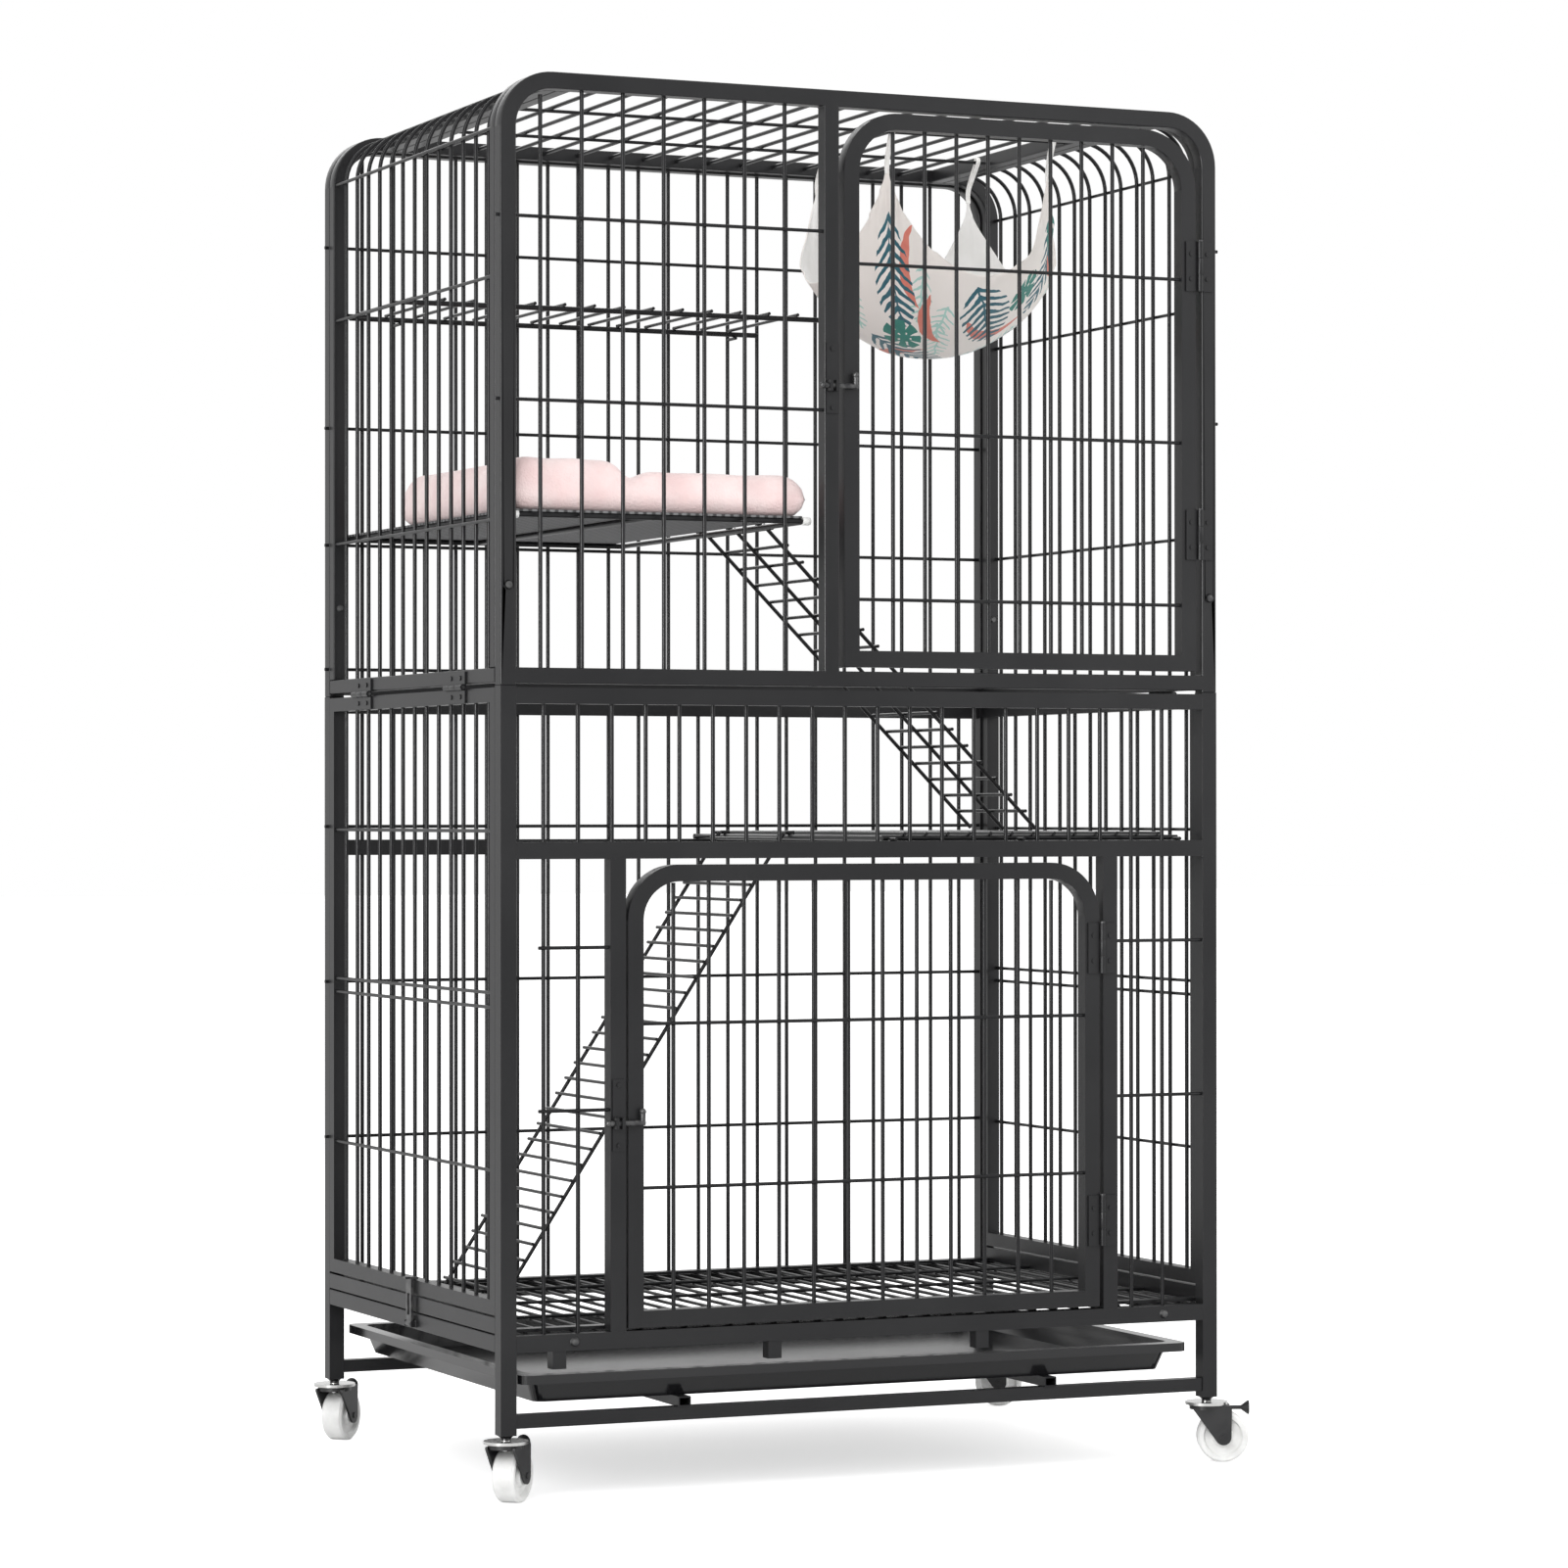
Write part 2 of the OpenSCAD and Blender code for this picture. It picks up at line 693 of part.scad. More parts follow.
// Casters
module caster_stems() {
  color("#8c8c8c") for (c = corners) translate([c[0], c[1], 0]) {
    translate([0, 0, fork_top - 6]) cylinder(h = 7, d = 8);
    translate([0, 0, fork_top + 0.3]) cylinder(h = 2.7, r = race_r);
    translate([0, 0, fork_top + 3]) cylinder(h = 40, d = 9);
    translate([0, 0, fork_top + 5]) cylinder(h = 2.5 - weld_gap, d1 = 9, d2 = tube - 0.6);
    translate([0, 0, post_z - 1]) cylinder(h = 38, d = 11);
  }
}

module at_caster(i) {
  translate([corners[i][0], corners[i][1], 0]) rotate([0, 0, yaws[i]]) children();
}

module caster_fork(i) {
  color("#1c1c1c") at_caster(i) {
    difference() {
      union() {
        translate([0, 0, fork_top - 4]) cylinder(h = 4, r = fork_r);
        for (s = [-1, 1]) translate([0, s > 0 ? cheek_in + cheek_t : -cheek_in, 0])
          rotate([90, 0, 0]) linear_extrude(cheek_t) hull() {
            translate([trail, wheel_r]) circle(r = 7.5);
            translate([-13, fork_top - 4]) square([31, 2]);
            translate([pedal_u, pedal_z]) circle(r = 3);
          }
      }
      translate([0, 0, fork_top - 12]) cylinder(h = 14, d = 8 + 2 * pin_gap);
    }
    translate([trail, cheek_in + cheek_t + 1, wheel_r]) rotate([90, 0, 0])
      cylinder(h = 2 * (cheek_in + cheek_t + 1), d = axle_d);
    translate([pedal_u, cheek_in, pedal_z]) rotate([90, 0, 0])
      cylinder(h = 2 * cheek_in, d = pedal_pin_d);
  }
}

module caster_wheel(i) {
  w = wheel_w / 2;
  bore_r = axle_d / 2 + pin_gap;
  color("#f0f0f0") at_caster(i) translate([trail, 0, wheel_r]) rotate([90, 0, 0])
    rotate_extrude($fn = 64) polygon([
      [bore_r, -w], [9, -w], [10, -w + 4], [17, -w + 4], [18.5, -w + 0.5], [wheel_r - 2, -w + 0.5],
      [wheel_r, -w + 2.5], [wheel_r, w - 2.5], [wheel_r - 2, w - 0.5], [18.5, w - 0.5],
      [17, w - 4], [10, w - 4], [9, w], [bore_r, w]
    ]);
}

// Brake pedal: a boss on the fork's pin and a rod with a flared round foot behind the wheel
module brake_pedal(i) {
  half = pedal_half;
  foot = 7.5;
  color("#1a1a1a") at_caster(i) translate([pedal_u, 0, pedal_z]) difference() {
    union() {
      rotate([90, 0, 0]) translate([0, 0, -half]) cylinder(h = 2 * half, r = pedal_boss_r);
      rotate([0, 90, 0]) {
        cylinder(h = pedal_len - foot + 0.5, r = 1.9);
        translate([0, 0, pedal_len - foot]) cylinder(h = foot - 1.2, r1 = 1.9, r2 = pedal_foot_r);
        translate([0, 0, pedal_len - 1.2]) cylinder(h = 1.2, r = pedal_foot_r);
      }
    }
    rotate([90, 0, 0]) translate([0, 0, -half - 1])
      cylinder(h = 2 * half + 2, d = pedal_pin_d + 2 * pin_gap);
  }
}

// Doors
module door(x, z0, z1, w, r, pitch, cross, axis_x, hinges, part) {
  inner = x + tube;
  outer = x + w - tube;
  if (part == "frame") {
    portal(x, x + w, z0, z1, 0, r);
    tube_x(inner, outer, 0, z0);
    for (z = hinges) leaf(axis_x, z, -1, "moving");
  } else {
    count = floor((outer - inner) / pitch - 0.5);
    first = (inner + outer - (count - 1) * pitch) / 2;
    for (i = [0 : count - 1]) {
      wx = first + i * pitch;
      near = min(wx - inner, outer - wx);
      bend = max(0, r - tube - near);
      top = z1 - tube - (bend > 0 ? r - tube - sqrt((r - tube) * (r - tube) - bend * bend) : 0);
      wire_z(z0 + tube + weld_gap, top - (bend > 0 ? 1.2 : weld_gap), wx, mid);
    }
    for (z = cross) wire_x(inner + weld_gap, outer - weld_gap, mid - cross_off, z);
  }
}

module upper_door(part) {
  door(upper_door_x, upper_door_z0, upper_door_z1, upper_door_w, upper_door_r,
       upper_door_pitch, upper_door_cross, upper_axis_x, upper_hinges, part);
}

module lower_door(part) {
  door(lower_door_x, lower_door_z0, lower_door_z1, lower_door_w, lower_door_r,
       lower_door_pitch, lower_door_cross, lower_axis_x, lower_hinges, part);
}

// Lower side panels: flaps that hang from hinges under the upper stage
module side_panel_frame() {
  t = side_tube;
  color("#3b3b3b") {
    for (y = [side_y0, side_y1 - t])
      tube_z(panel_z + t, panel_top - t, 0, y, t, t);
    for (z = [panel_z, panel_top - t]) tube_y(side_y0, side_y1, 0, z, t, t);
    for (y = panel_hinges) side_leaf(y, false, "moving");
  }
}

module side_panel_wires() {
  t = side_tube;
  x = t / 2;
  color("#2e2e2e") {
    for (i = [0 : side_count - 1])
      wire_z(panel_z + t + weld_gap, panel_top - t - weld_gap, x, side_first + i * side_pitch);
    for (z = panel_cross)
      wire_y(side_y0 + t + weld_gap, side_y1 - t - weld_gap, x - cross_off, z);
  }
}

// Clip that pivots on the base rail and hooks over the panel's bottom rail
module clip() {
  t = 2;
  x = clip_x - t / 2;
  top = panel_z + side_tube + 1;
  color("#2a2a2a") difference() {
    union() {
      translate([x, clip_y - clip_w / 2, clip_z]) cube([t, clip_w, top - clip_z + t]);
      translate([x, clip_y - clip_w / 2, top]) cube([3 - x, clip_w, t]);
      translate([x - 4, clip_y - clip_w / 4, top]) cube([5, clip_w / 2, t]);
      wire_y(clip_y - clip_w / 2, clip_y + clip_w / 2, clip_x, clip_z, 4.8);
    }
    wire_y(clip_y - clip_w, clip_y + clip_w, clip_x, clip_z, clip_pin_d + 2 * pin_gap);
    translate([x - 1, clip_y - clip_w / 4, clip_z + 8]) cube([t + 2, clip_w / 2, 20]);
  }
}

// Tray with a flat lip and sloping sides
module slab(x, y, w, d, z, h, r) {
  translate([x, y, z]) linear_extrude(h) translate([r, r]) offset(r = r, $fn = 24)
    square([w - 2 * r, d - 2 * r]);
}

module basin(grow, z0, z1) {
  a = tray_lip - grow;
  b = tray_lip + tray_slope - grow;
  hull() {
    slab(tray_x + a, tray_y + a, tray_w - 2 * a, tray_d - 2 * a, z1 - 0.1, 0.1, 12);
    slab(tray_x + b, tray_y + b, tray_w - 2 * b, tray_d - 2 * b, z0, 0.1, 10);
  }
}

module tray() {
  top = tray_z + tray_h;
  color("#161616") difference() {
    union() {
      difference() {
        slab(tray_x, tray_y, tray_w, tray_d, top - 8, 8, 10);
        slab(tray_x + 2, tray_y + 2, tray_w - 4, tray_d - 4, top - 9, 6.5, 8);
      }
      basin(tray_wall, tray_z, top);
    }
    basin(0, tray_z + tray_wall, top + 0.2);
  }
}

// Shelves
module wire_shelf() {
  y1 = in_y - 8;
  y0 = y1 - wire_shelf_d;
  x0 = tube + 3;
  x1 = 451;
  z = wire_shelf_z;
  hook_z = z - rod_d / 2 - cross_d / 2 - weld_gap;
  color("#2a2a2a") {
    for (y = [y0, y1]) wire_x(x0, x1, y, z, rod_d);
    for (i = [0 : floor((x1 - x0 - 10) / grille_pitch * 1.3)])
      wire_y(y0 - 2, y1 + 4, x0 + 8 + i * grille_pitch / 1.3,
             z + rod_d / 2 + cross_d / 2 + weld_gap);
    for (x = [on_rear_wire(x0 + 40), on_rear_wire(x1 - 40)])
      wire_y(y1 - 6, in_y + mid - bar_d / 2 - weld_gap, x, hook_z);
    wire_x(side_tube / 2 + bar_d / 2 + weld_gap, x0 + 12, on_side_wire(y0 + 12), z);
    wire_x(side_tube / 2 + bar_d / 2 + weld_gap, x0 + 12, on_side_wire(y1 - 30), z);
  }
}

module cushion_shelf_frame() {
  x0 = tube + 0.6;
  y0 = tube + 0.6;
  y1 = in_y - 0.6;
  r = rod_d / 2;
  color("#333333") {
    for (y = [y0 + r, y1 - r]) wire_x(x0, shelf_w, y, shelf_z, rod_d);
    for (x = [x0 + r, shelf_w / 2, shelf_w - r])
      wire_y(y0 + rod_d + weld_gap, y1 - rod_d - weld_gap, x, shelf_z, rod_d);
    for (i = [1, 5])
      wire_y(mid + bar_d / 2 + weld_gap, y0 - weld_gap, grille_first + i * grille_pitch,
             shelf_z, cross_d);
    for (i = [1, 7])
      wire_y(y1 + weld_gap, in_y + mid - bar_d / 2 - weld_gap, rear_first + i * rear_pitch,
             shelf_z, cross_d);
  }
}

module cushion_shelf_board() {
  x0 = tube + 0.6;
  y0 = tube + 0.6;
  y1 = in_y - 0.6;
  color("#5c5c5c") translate([x0, y0, shelf_z + rod_d / 2 + weld_gap])
    cube([shelf_w - x0 - 9, y1 - y0, 2]);
}

// Second floor: rods and close wires resting on the front and the rear band rail
module second_floor() {
  x0 = floor2_x;
  x1 = in_x - side_tube - 4;
  y0 = 2;
  y1 = in_y - 6;
  z = floor2_z + weld_gap;
  r = rod_d / 2;
  color("#262626") {
    for (y = [mid + 12, y1 - r]) wire_x(x0, x1, y, z, rod_d);
    count = floor((x1 - x0) / floor_pitch);
    first = (x0 + x1 - (count - 1) * floor_pitch) / 2;
    for (i = [0 : count - 1])
      wire_y(mid + 8, y1, first + i * floor_pitch, z + r + cross_d / 2 + weld_gap);
    for (x = [x0 + r, x1 - r])
      wire_y(mid + 12 + r + weld_gap, y1 - rod_d - weld_gap, x, z, rod_d);
    rest_z = floor2_z - r + cross_d / 2 + 0.04;
    for (i = [10.5, 14.5, 19.5])
      wire_y(y0, mid + 12 - r - weld_gap, band_first + i * band_pitch, rest_z);
    for (i = [11.5, 15.5, 19.5])
      wire_y(y1 + weld_gap, cage_d - 2, rear_first + i * rear_pitch, rest_z);
  }
}

// Ladder of long wires at the given depths with rungs on top of them, from its top to its foot
module ladder(top, foot, depths, pitch) {
  dx = foot[0] - top[0];
  dz = foot[1] - top[1];
  run = sqrt(dx * dx + dz * dz);
  lean = atan2(dx, dz);
  lift = (ladder_d + cross_d) / 2 + weld_gap;
  y0 = min(depths) - 3;
  y1 = max(depths) + 3;
  color("#262626") translate([top[0], 0, top[1]]) rotate([0, lean, 0]) {
    for (y = depths) translate([0, y, 0]) cylinder(h = run, d = ladder_d);
    for (s = [8 : pitch : run - 4])
      translate([dx > 0 ? -lift : lift, y0, s]) rotate([-90, 0, 0])
        cylinder(h = y1 - y0, d = cross_d);
  }
}

module upper_ladder() {
  hook_z = shelf_z + rod_d / 2 + ladder_d / 2 + weld_gap;
  x = shelf_w + 3;
  depths = [for (f = [0, 0.5, 1]) upper_ladder_y + f * upper_ladder_w];
  ladder([x + weld_gap, hook_z - 1], [x + hook_z - 1 - floor2_z - 9, floor2_z + 9], depths,
         upper_rung_pitch);
  color("#262626") for (y = depths)
    wire_x(shelf_w - 4, x - ladder_d / 2, y, hook_z, ladder_d);
}

module lower_ladder() {
  foot_z = floor_frame_z + 5;
  hook_z = floor2_z + rod_d / 2 + ladder_d / 2 + 2 * weld_gap;
  x = floor2_x - 3;
  depths = [for (f = [0, 1]) lower_ladder_y + f * lower_ladder_w];
  ladder([x - weld_gap, hook_z - 1], [x - (hook_z - 1 - foot_z) / 1.512, foot_z], depths,
         lower_rung_pitch);
  color("#262626") for (y = depths)
    wire_x(x + ladder_d / 2, floor2_x + 8, y, hook_z, ladder_d);
}

// Cushion: a crowned pad with sides drawn in between its corners
module cushion() {
  x0 = tube + 2.5;
  x1 = shelf_w - 3;
  y0 = 19;
  y1 = 320;
  z0 = shelf_z + rod_d / 2 + 2 + 0.4;
  n = 14;
  m = 12;
  function sq(a) = sin(180 * a);
  function edge(a) = pow(max(0, sq(a)), 0.35);
  function px(i, j) = x0 + (x1 - x0) * (i / n)
    + (0.5 - i / n) * 10 * sq(j / m) * (abs(2 * i / n - 1) > 0.99 ? 1 : 0.6);
  function py(i, j) = y0 + (y1 - y0) * (j / m)
    + (0.5 - j / m) * 8 * sq(i / n) * (abs(2 * j / m - 1) > 0.99 ? 1 : 0.6);
  function fullness(a) = 1 - cushion_lean * (0.5 - 0.5 * cos(180 * min(1, max(0, 4 * a - 1.1))));
  function rise(i, j) = 6 + (cushion_h * fullness(i / n) - 6) * edge(i / n) * edge(j / m);
  top = [for (j = [0 : m], i = [0 : n]) [px(i, j), py(i, j), z0 + rise(i, j)]];
  low = [for (j = [0 : m], i = [0 : n]) [px(i, j), py(i, j), z0]];
  k = (n + 1) * (m + 1);
  function at(i, j) = j * (n + 1) + i;
  rim = concat([for (i = [0 : n - 1]) at(i, 0)], [for (j = [0 : m - 1]) at(n, j)],
               [for (i = [n : -1 : 1]) at(i, m)], [for (j = [m : -1 : 1]) at(0, j)]);
  c = len(rim);
  color("#f3cfcd") polyhedron(points = concat(top, low), faces = concat(
    [for (j = [0 : m - 1], i = [0 : n - 1]) each [[at(i, j), at(i, j + 1), at(i + 1, j + 1)],
                                                  [at(i, j), at(i + 1, j + 1), at(i + 1, j)]]],
    [for (j = [0 : m - 1], i = [0 : n - 1]) each
      [[k + at(i, j), k + at(i + 1, j + 1), k + at(i, j + 1)],
       [k + at(i, j), k + at(i + 1, j), k + at(i + 1, j + 1)]]],
    [for (a = [0 : c - 1]) each [[rim[a], rim[(a + 1) % c], k + rim[a]],
                                 [rim[(a + 1) % c], k + rim[(a + 1) % c], k + rim[a]]]]));
}

// Hammock: one cloth hung by its four corners, deep in the middle
module hammock() {
  n = 20;
  x0 = hammock_x[0];
  x1 = hammock_x[1];
  y0 = hammock_y[0];
  y1 = hammock_y[1];
  depth = hammock_top_z - hammock_low_z - hammock_t;
  function bulge(a) = 4 * a * (1 - a);
  function hx(u, v) = x0 + (x1 - x0) * u + (u - 0.5) * 64 * bulge(v);
  function hy(u, v) = y0 + (y1 - y0) * v + (v - 0.5) * 64 * bulge(u);
  function hz(u, v) = hammock_top_z
    - depth * (0.71 * pow(max(bulge(u), bulge(v)), 0.75) + 0.29 * pow(bulge(u) * bulge(v), 0.8))
    - 4 * sin(900 * u) * bulge(v) * (1 - bulge(u) * bulge(v));
  top = [for (j = [0 : n], i = [0 : n]) [hx(i / n, j / n), hy(i / n, j / n), hz(i / n, j / n)]];
  low = [for (p = top) [p[0], p[1], p[2] - hammock_t]];
  k = (n + 1) * (n + 1);
  function at(i, j) = j * (n + 1) + i;
  rim = concat([for (i = [0 : n - 1]) at(i, 0)], [for (j = [0 : n - 1]) at(n, j)],
               [for (i = [n : -1 : 1]) at(i, n)], [for (j = [n : -1 : 1]) at(0, j)]);
  c = len(rim);
  color("#e9e4dc") polyhedron(points = concat(top, low), faces = concat(
    [for (j = [0 : n - 1], i = [0 : n - 1]) each [[at(i, j), at(i, j + 1), at(i + 1, j + 1)],
                                                  [at(i, j), at(i + 1, j + 1), at(i + 1, j)]]],
    [for (j = [0 : n - 1], i = [0 : n - 1]) each
      [[k + at(i, j), k + at(i + 1, j + 1), k + at(i, j + 1)],
       [k + at(i, j), k + at(i + 1, j), k + at(i + 1, j + 1)]]],
    [for (a = [0 : c - 1]) each [[rim[a], rim[(a + 1) % c], k + rim[a]],
                                 [rim[(a + 1) % c], k + rim[(a + 1) % c], k + rim[a]]]]));
}

// Straps from the hammock's corners up to the roof wires, each with a hook
module hammock_straps() {
  up = roof_rail_z + side_tube / 2 - cross_off - cross_d / 2 - hammock_top_z;
  color("#dcdcd6") for (j = [0, 1], i = [0, 1]) {
    back = hammock_y[i] - roof_cross_y[i];
    run = sqrt(up * up + back * back);
    translate([hammock_x[j] - 3, hammock_y[i], hammock_top_z]) rotate([atan2(back, up), 0, 0])
      translate([0, -0.8, 0.8]) cube([6, 1.6, run - 2]);
  }
}

placed() front_posts();
placed() rear_posts();
placed() front_lower_frame();
placed() rear_lower_frame();
placed() base_side_rails();
placed() tray_runners();
placed() floor_grid();
placed() front_lower_grille();
placed() rear_lower_grille();
placed() front_hoop();
placed() rear_hoop();
placed() front_upper_grille();
placed() rear_upper_grille();
placed() side_roof_frame();
placed() side_roof_wires();
placed() door_hinge_leaves();
placed() panel_hinge_leaves();
placed() hinge_pins();
placed() frame_bolts();
placed() latch_plates();
placed() snap_springs();
placed() caster_stems();
placed() wire_shelf();
placed() cushion_shelf_frame();
placed() cushion_shelf_board();
placed() cushion();
placed() second_floor();
placed() upper_ladder();
placed() lower_ladder();
placed() hammock();
placed() hammock_straps();
placed() color("#404040") upper_door("frame");  // upper_door_frame
placed() color("#2e2e2e") upper_door("wires");  // upper_door_wires
placed() color("#404040") lower_door("frame");  // lower_door_frame
placed() color("#2e2e2e") lower_door("wires");  // lower_door_wires
placed() latch_bolt(mullion_x + mid, upper_latch_z);  // upper_latch_bolt
placed() latch_bolt(left_post_x + mid, lower_latch_z);  // lower_latch_bolt
placed() side_panel_frame();  // left_panel_frame
placed() side_panel_wires();  // left_panel_wires
placed() translate([cage_w, 0, 0]) mirror([1, 0, 0]) side_panel_frame();  // right_panel_frame
placed() translate([cage_w, 0, 0]) mirror([1, 0, 0]) side_panel_wires();  // right_panel_wires
placed() clip();  // left_clip
placed() translate([cage_w, 0, 0]) mirror([1, 0, 0]) clip();  // right_clip
placed() tray();
placed() snap_button(mid);  // snap_button_fl
placed() snap_button(cage_w - mid);  // snap_button_fr
placed() to_rear() snap_button(mid);  // snap_button_rl
placed() to_rear() snap_button(cage_w - mid);  // snap_button_rr
placed() caster_fork(0);  // caster_fork_fl
placed() caster_fork(1);  // caster_fork_fr
placed() caster_fork(2);  // caster_fork_rl
placed() caster_fork(3);  // caster_fork_rr
placed() caster_wheel(0);  // caster_wheel_fl
placed() caster_wheel(1);  // caster_wheel_fr
placed() caster_wheel(2);  // caster_wheel_rl
placed() caster_wheel(3);  // caster_wheel_rr
placed() brake_pedal(0);  // brake_pedal_fl
placed() brake_pedal(1);  // brake_pedal_fr
placed() brake_pedal(2);  // brake_pedal_rl
placed() brake_pedal(3);  // brake_pedal_rr
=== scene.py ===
# Two-stage cat enclosure of painted square tube and welded wire, dressed for a plain studio.
# Metres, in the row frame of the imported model: +Z up, doors towards -Y.
import math

import bmesh
import bpy
import numpy
from mathutils import Matrix, Vector, noise


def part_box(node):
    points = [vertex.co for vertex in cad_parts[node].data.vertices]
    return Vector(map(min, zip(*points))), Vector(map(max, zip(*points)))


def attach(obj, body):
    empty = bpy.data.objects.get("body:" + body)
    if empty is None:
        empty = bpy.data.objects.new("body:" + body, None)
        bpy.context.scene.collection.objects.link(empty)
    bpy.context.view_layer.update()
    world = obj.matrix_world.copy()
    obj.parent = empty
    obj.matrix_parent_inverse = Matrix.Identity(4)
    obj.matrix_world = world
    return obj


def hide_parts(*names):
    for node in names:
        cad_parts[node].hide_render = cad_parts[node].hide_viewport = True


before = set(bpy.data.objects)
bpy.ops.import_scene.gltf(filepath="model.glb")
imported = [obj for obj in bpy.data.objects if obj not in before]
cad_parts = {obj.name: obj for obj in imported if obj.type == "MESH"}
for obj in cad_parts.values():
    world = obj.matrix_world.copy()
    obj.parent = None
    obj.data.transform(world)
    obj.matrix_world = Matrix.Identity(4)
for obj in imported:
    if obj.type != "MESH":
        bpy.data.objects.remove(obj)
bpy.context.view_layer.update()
scene = bpy.context.scene
scene.view_settings.view_transform = "Standard"


# Studio: a white floor that runs into a white room, soft light from all round, three large
# lamps and a small one. The camera stands where the photograph was taken from.
FLOOR_HALF = 30.0
FLOOR_GREY = 0.86
ROOM_LIGHT = 0.85
WHITE_IN_STEEL = 0.12
CAGE_CORNER = Vector(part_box("front_hoop")[0]) * Vector((1, 1, 0))
CAMERA_PLACE = CAGE_CORNER + Vector((-1.5008, -4.0167, 0.6119))
CAMERA_TURN = 0.41602
CAMERA_TILT = 0.005964
CAMERA_ROLL = -0.0007
CAMERA_REACH = 60.0
FOCAL_PIXELS = 4945.4
FRAME_PIXELS = 1601.0
SENSOR = 36.0

camera_data = bpy.data.cameras.new("camera")
camera_data.sensor_width = SENSOR
camera_data.lens = FOCAL_PIXELS / FRAME_PIXELS * SENSOR
camera_data.clip_end = CAMERA_REACH
camera = bpy.data.objects.new("camera", camera_data)
scene.collection.objects.link(camera)
aim = Matrix.Rotation(-CAMERA_TURN, 4, "Z") @ Matrix.Rotation(math.pi / 2 + CAMERA_TILT, 4, "X")
camera.matrix_world = Matrix.Translation(CAMERA_PLACE) @ aim @ Matrix.Rotation(CAMERA_ROLL, 4, "Z")
scene.camera = camera


def node_of(tree, kind, **values):
    """Adds a node, with values for its properties and, after in_, for its inputs."""
    node = tree.nodes.new(kind)
    for key, value in values.items():
        if key.startswith("in_"):
            place = key[3:]
            socket = node.inputs[int(place)] if place.isdigit() else node.inputs[place.replace("_", " ")]
            socket.default_value = value
        else:
            setattr(node, key, value)
    return node


def finish_of(name, colour, roughness, metallic=0.0, **sockets):
    """A material with values for its shader's sockets, given back with its tree and shader."""
    material = bpy.data.materials.new(name)
    material.use_nodes = True
    tree = material.node_tree
    shader = tree.nodes["Principled BSDF"]
    shader.inputs["Base Color"].default_value = (*colour, 1.0)
    shader.inputs["Roughness"].default_value = roughness
    shader.inputs["Metallic"].default_value = metallic
    for key, value in sockets.items():
        shader.inputs[key.replace("_", " ")].default_value = value
    material.diffuse_color = (*colour, 1.0)
    return material, tree, shader


world = bpy.data.worlds.new("studio")
world.use_nodes = True
scene.world = world
sky = world.node_tree
sky.nodes.clear()
light_path = node_of(sky, "ShaderNodeLightPath")
mirrored = node_of(sky, "ShaderNodeMath", operation="MULTIPLY", in_1=WHITE_IN_STEEL)
seen = node_of(sky, "ShaderNodeMath", operation="MAXIMUM")
sky.links.new(light_path.outputs["Is Glossy Ray"], mirrored.inputs[0])
sky.links.new(light_path.outputs["Is Camera Ray"], seen.inputs[0])
sky.links.new(mirrored.outputs[0], seen.inputs[1])
soft = node_of(sky, "ShaderNodeBackground", in_Color=(1.0, 1.0, 1.0, 1.0), in_Strength=ROOM_LIGHT)
white = node_of(sky, "ShaderNodeBackground", in_Color=(1.0, 1.0, 1.0, 1.0), in_Strength=1.0)
blend_sky = node_of(sky, "ShaderNodeMixShader")
sky_out = node_of(sky, "ShaderNodeOutputWorld")
sky.links.new(seen.outputs[0], blend_sky.inputs[0])
sky.links.new(soft.outputs[0], blend_sky.inputs[1])
sky.links.new(white.outputs[0], blend_sky.inputs[2])
sky.links.new(blend_sky.outputs[0], sky_out.inputs[0])

floor_mesh = bpy.data.meshes.new("floor")
floor_corners = [(-FLOOR_HALF, -FLOOR_HALF, 0), (FLOOR_HALF, -FLOOR_HALF, 0),
                 (FLOOR_HALF, FLOOR_HALF, 0), (-FLOOR_HALF, FLOOR_HALF, 0)]
floor_mesh.from_pydata(floor_corners, [], [(0, 1, 2, 3)])
floor = bpy.data.objects.new("floor", floor_mesh)
scene.collection.objects.link(floor)
floor_paint, floor_tree, floor_shader = finish_of("floor_white", (FLOOR_GREY,) * 3, 0.7,
                                                   Specular_IOR_Level=0.2,
                                                   Emission_Color=(1.0, 1.0, 1.0, 1.0))
floor_path = node_of(floor_tree, "ShaderNodeLightPath")
floor_glow = node_of(floor_tree, "ShaderNodeMath", operation="MULTIPLY", in_1=0.6)
floor_tree.links.new(floor_path.outputs["Is Camera Ray"], floor_glow.inputs[0])
floor_tree.links.new(floor_glow.outputs[0], floor_shader.inputs["Emission Strength"])
floor_mesh.materials.append(floor_paint)

LAMPS = [("key", (-2.6, -3.2, 3.0), 2.4, 92.0), ("fill", (3.0, -2.4, 2.0), 2.6, 40.0),
         ("back", (0.6, 3.4, 2.8), 2.6, 30.0), ("edge", (-3.6, -2.2, 0.9), 0.9, 110.0)]
LIT_POINT = Vector((0, 0, 0.6))
for name, place, size, power in LAMPS:
    lamp_data = bpy.data.lights.new(name, "AREA")
    lamp_data.shape = "SQUARE"
    lamp_data.size = size
    lamp_data.energy = power
    lamp = bpy.data.objects.new(name, lamp_data)
    lamp.location = place
    lamp.rotation_euler = (LIT_POINT - Vector(place)).to_track_quat("-Z", "Y").to_euler()
    scene.collection.objects.link(lamp)
# The edge lamp only shows in the sheen of rounded corners and doesn't light the cloth.
bpy.data.objects["edge"].visible_diffuse = False


# Square tube: cold-rolled steel, welded and powder coated in a dark charcoal satin.
# The corners of the tube are rounded and catch the light.
STEEL_GREY = (0.009, 0.009, 0.0097)
TUBE_CORNER = 0.0019


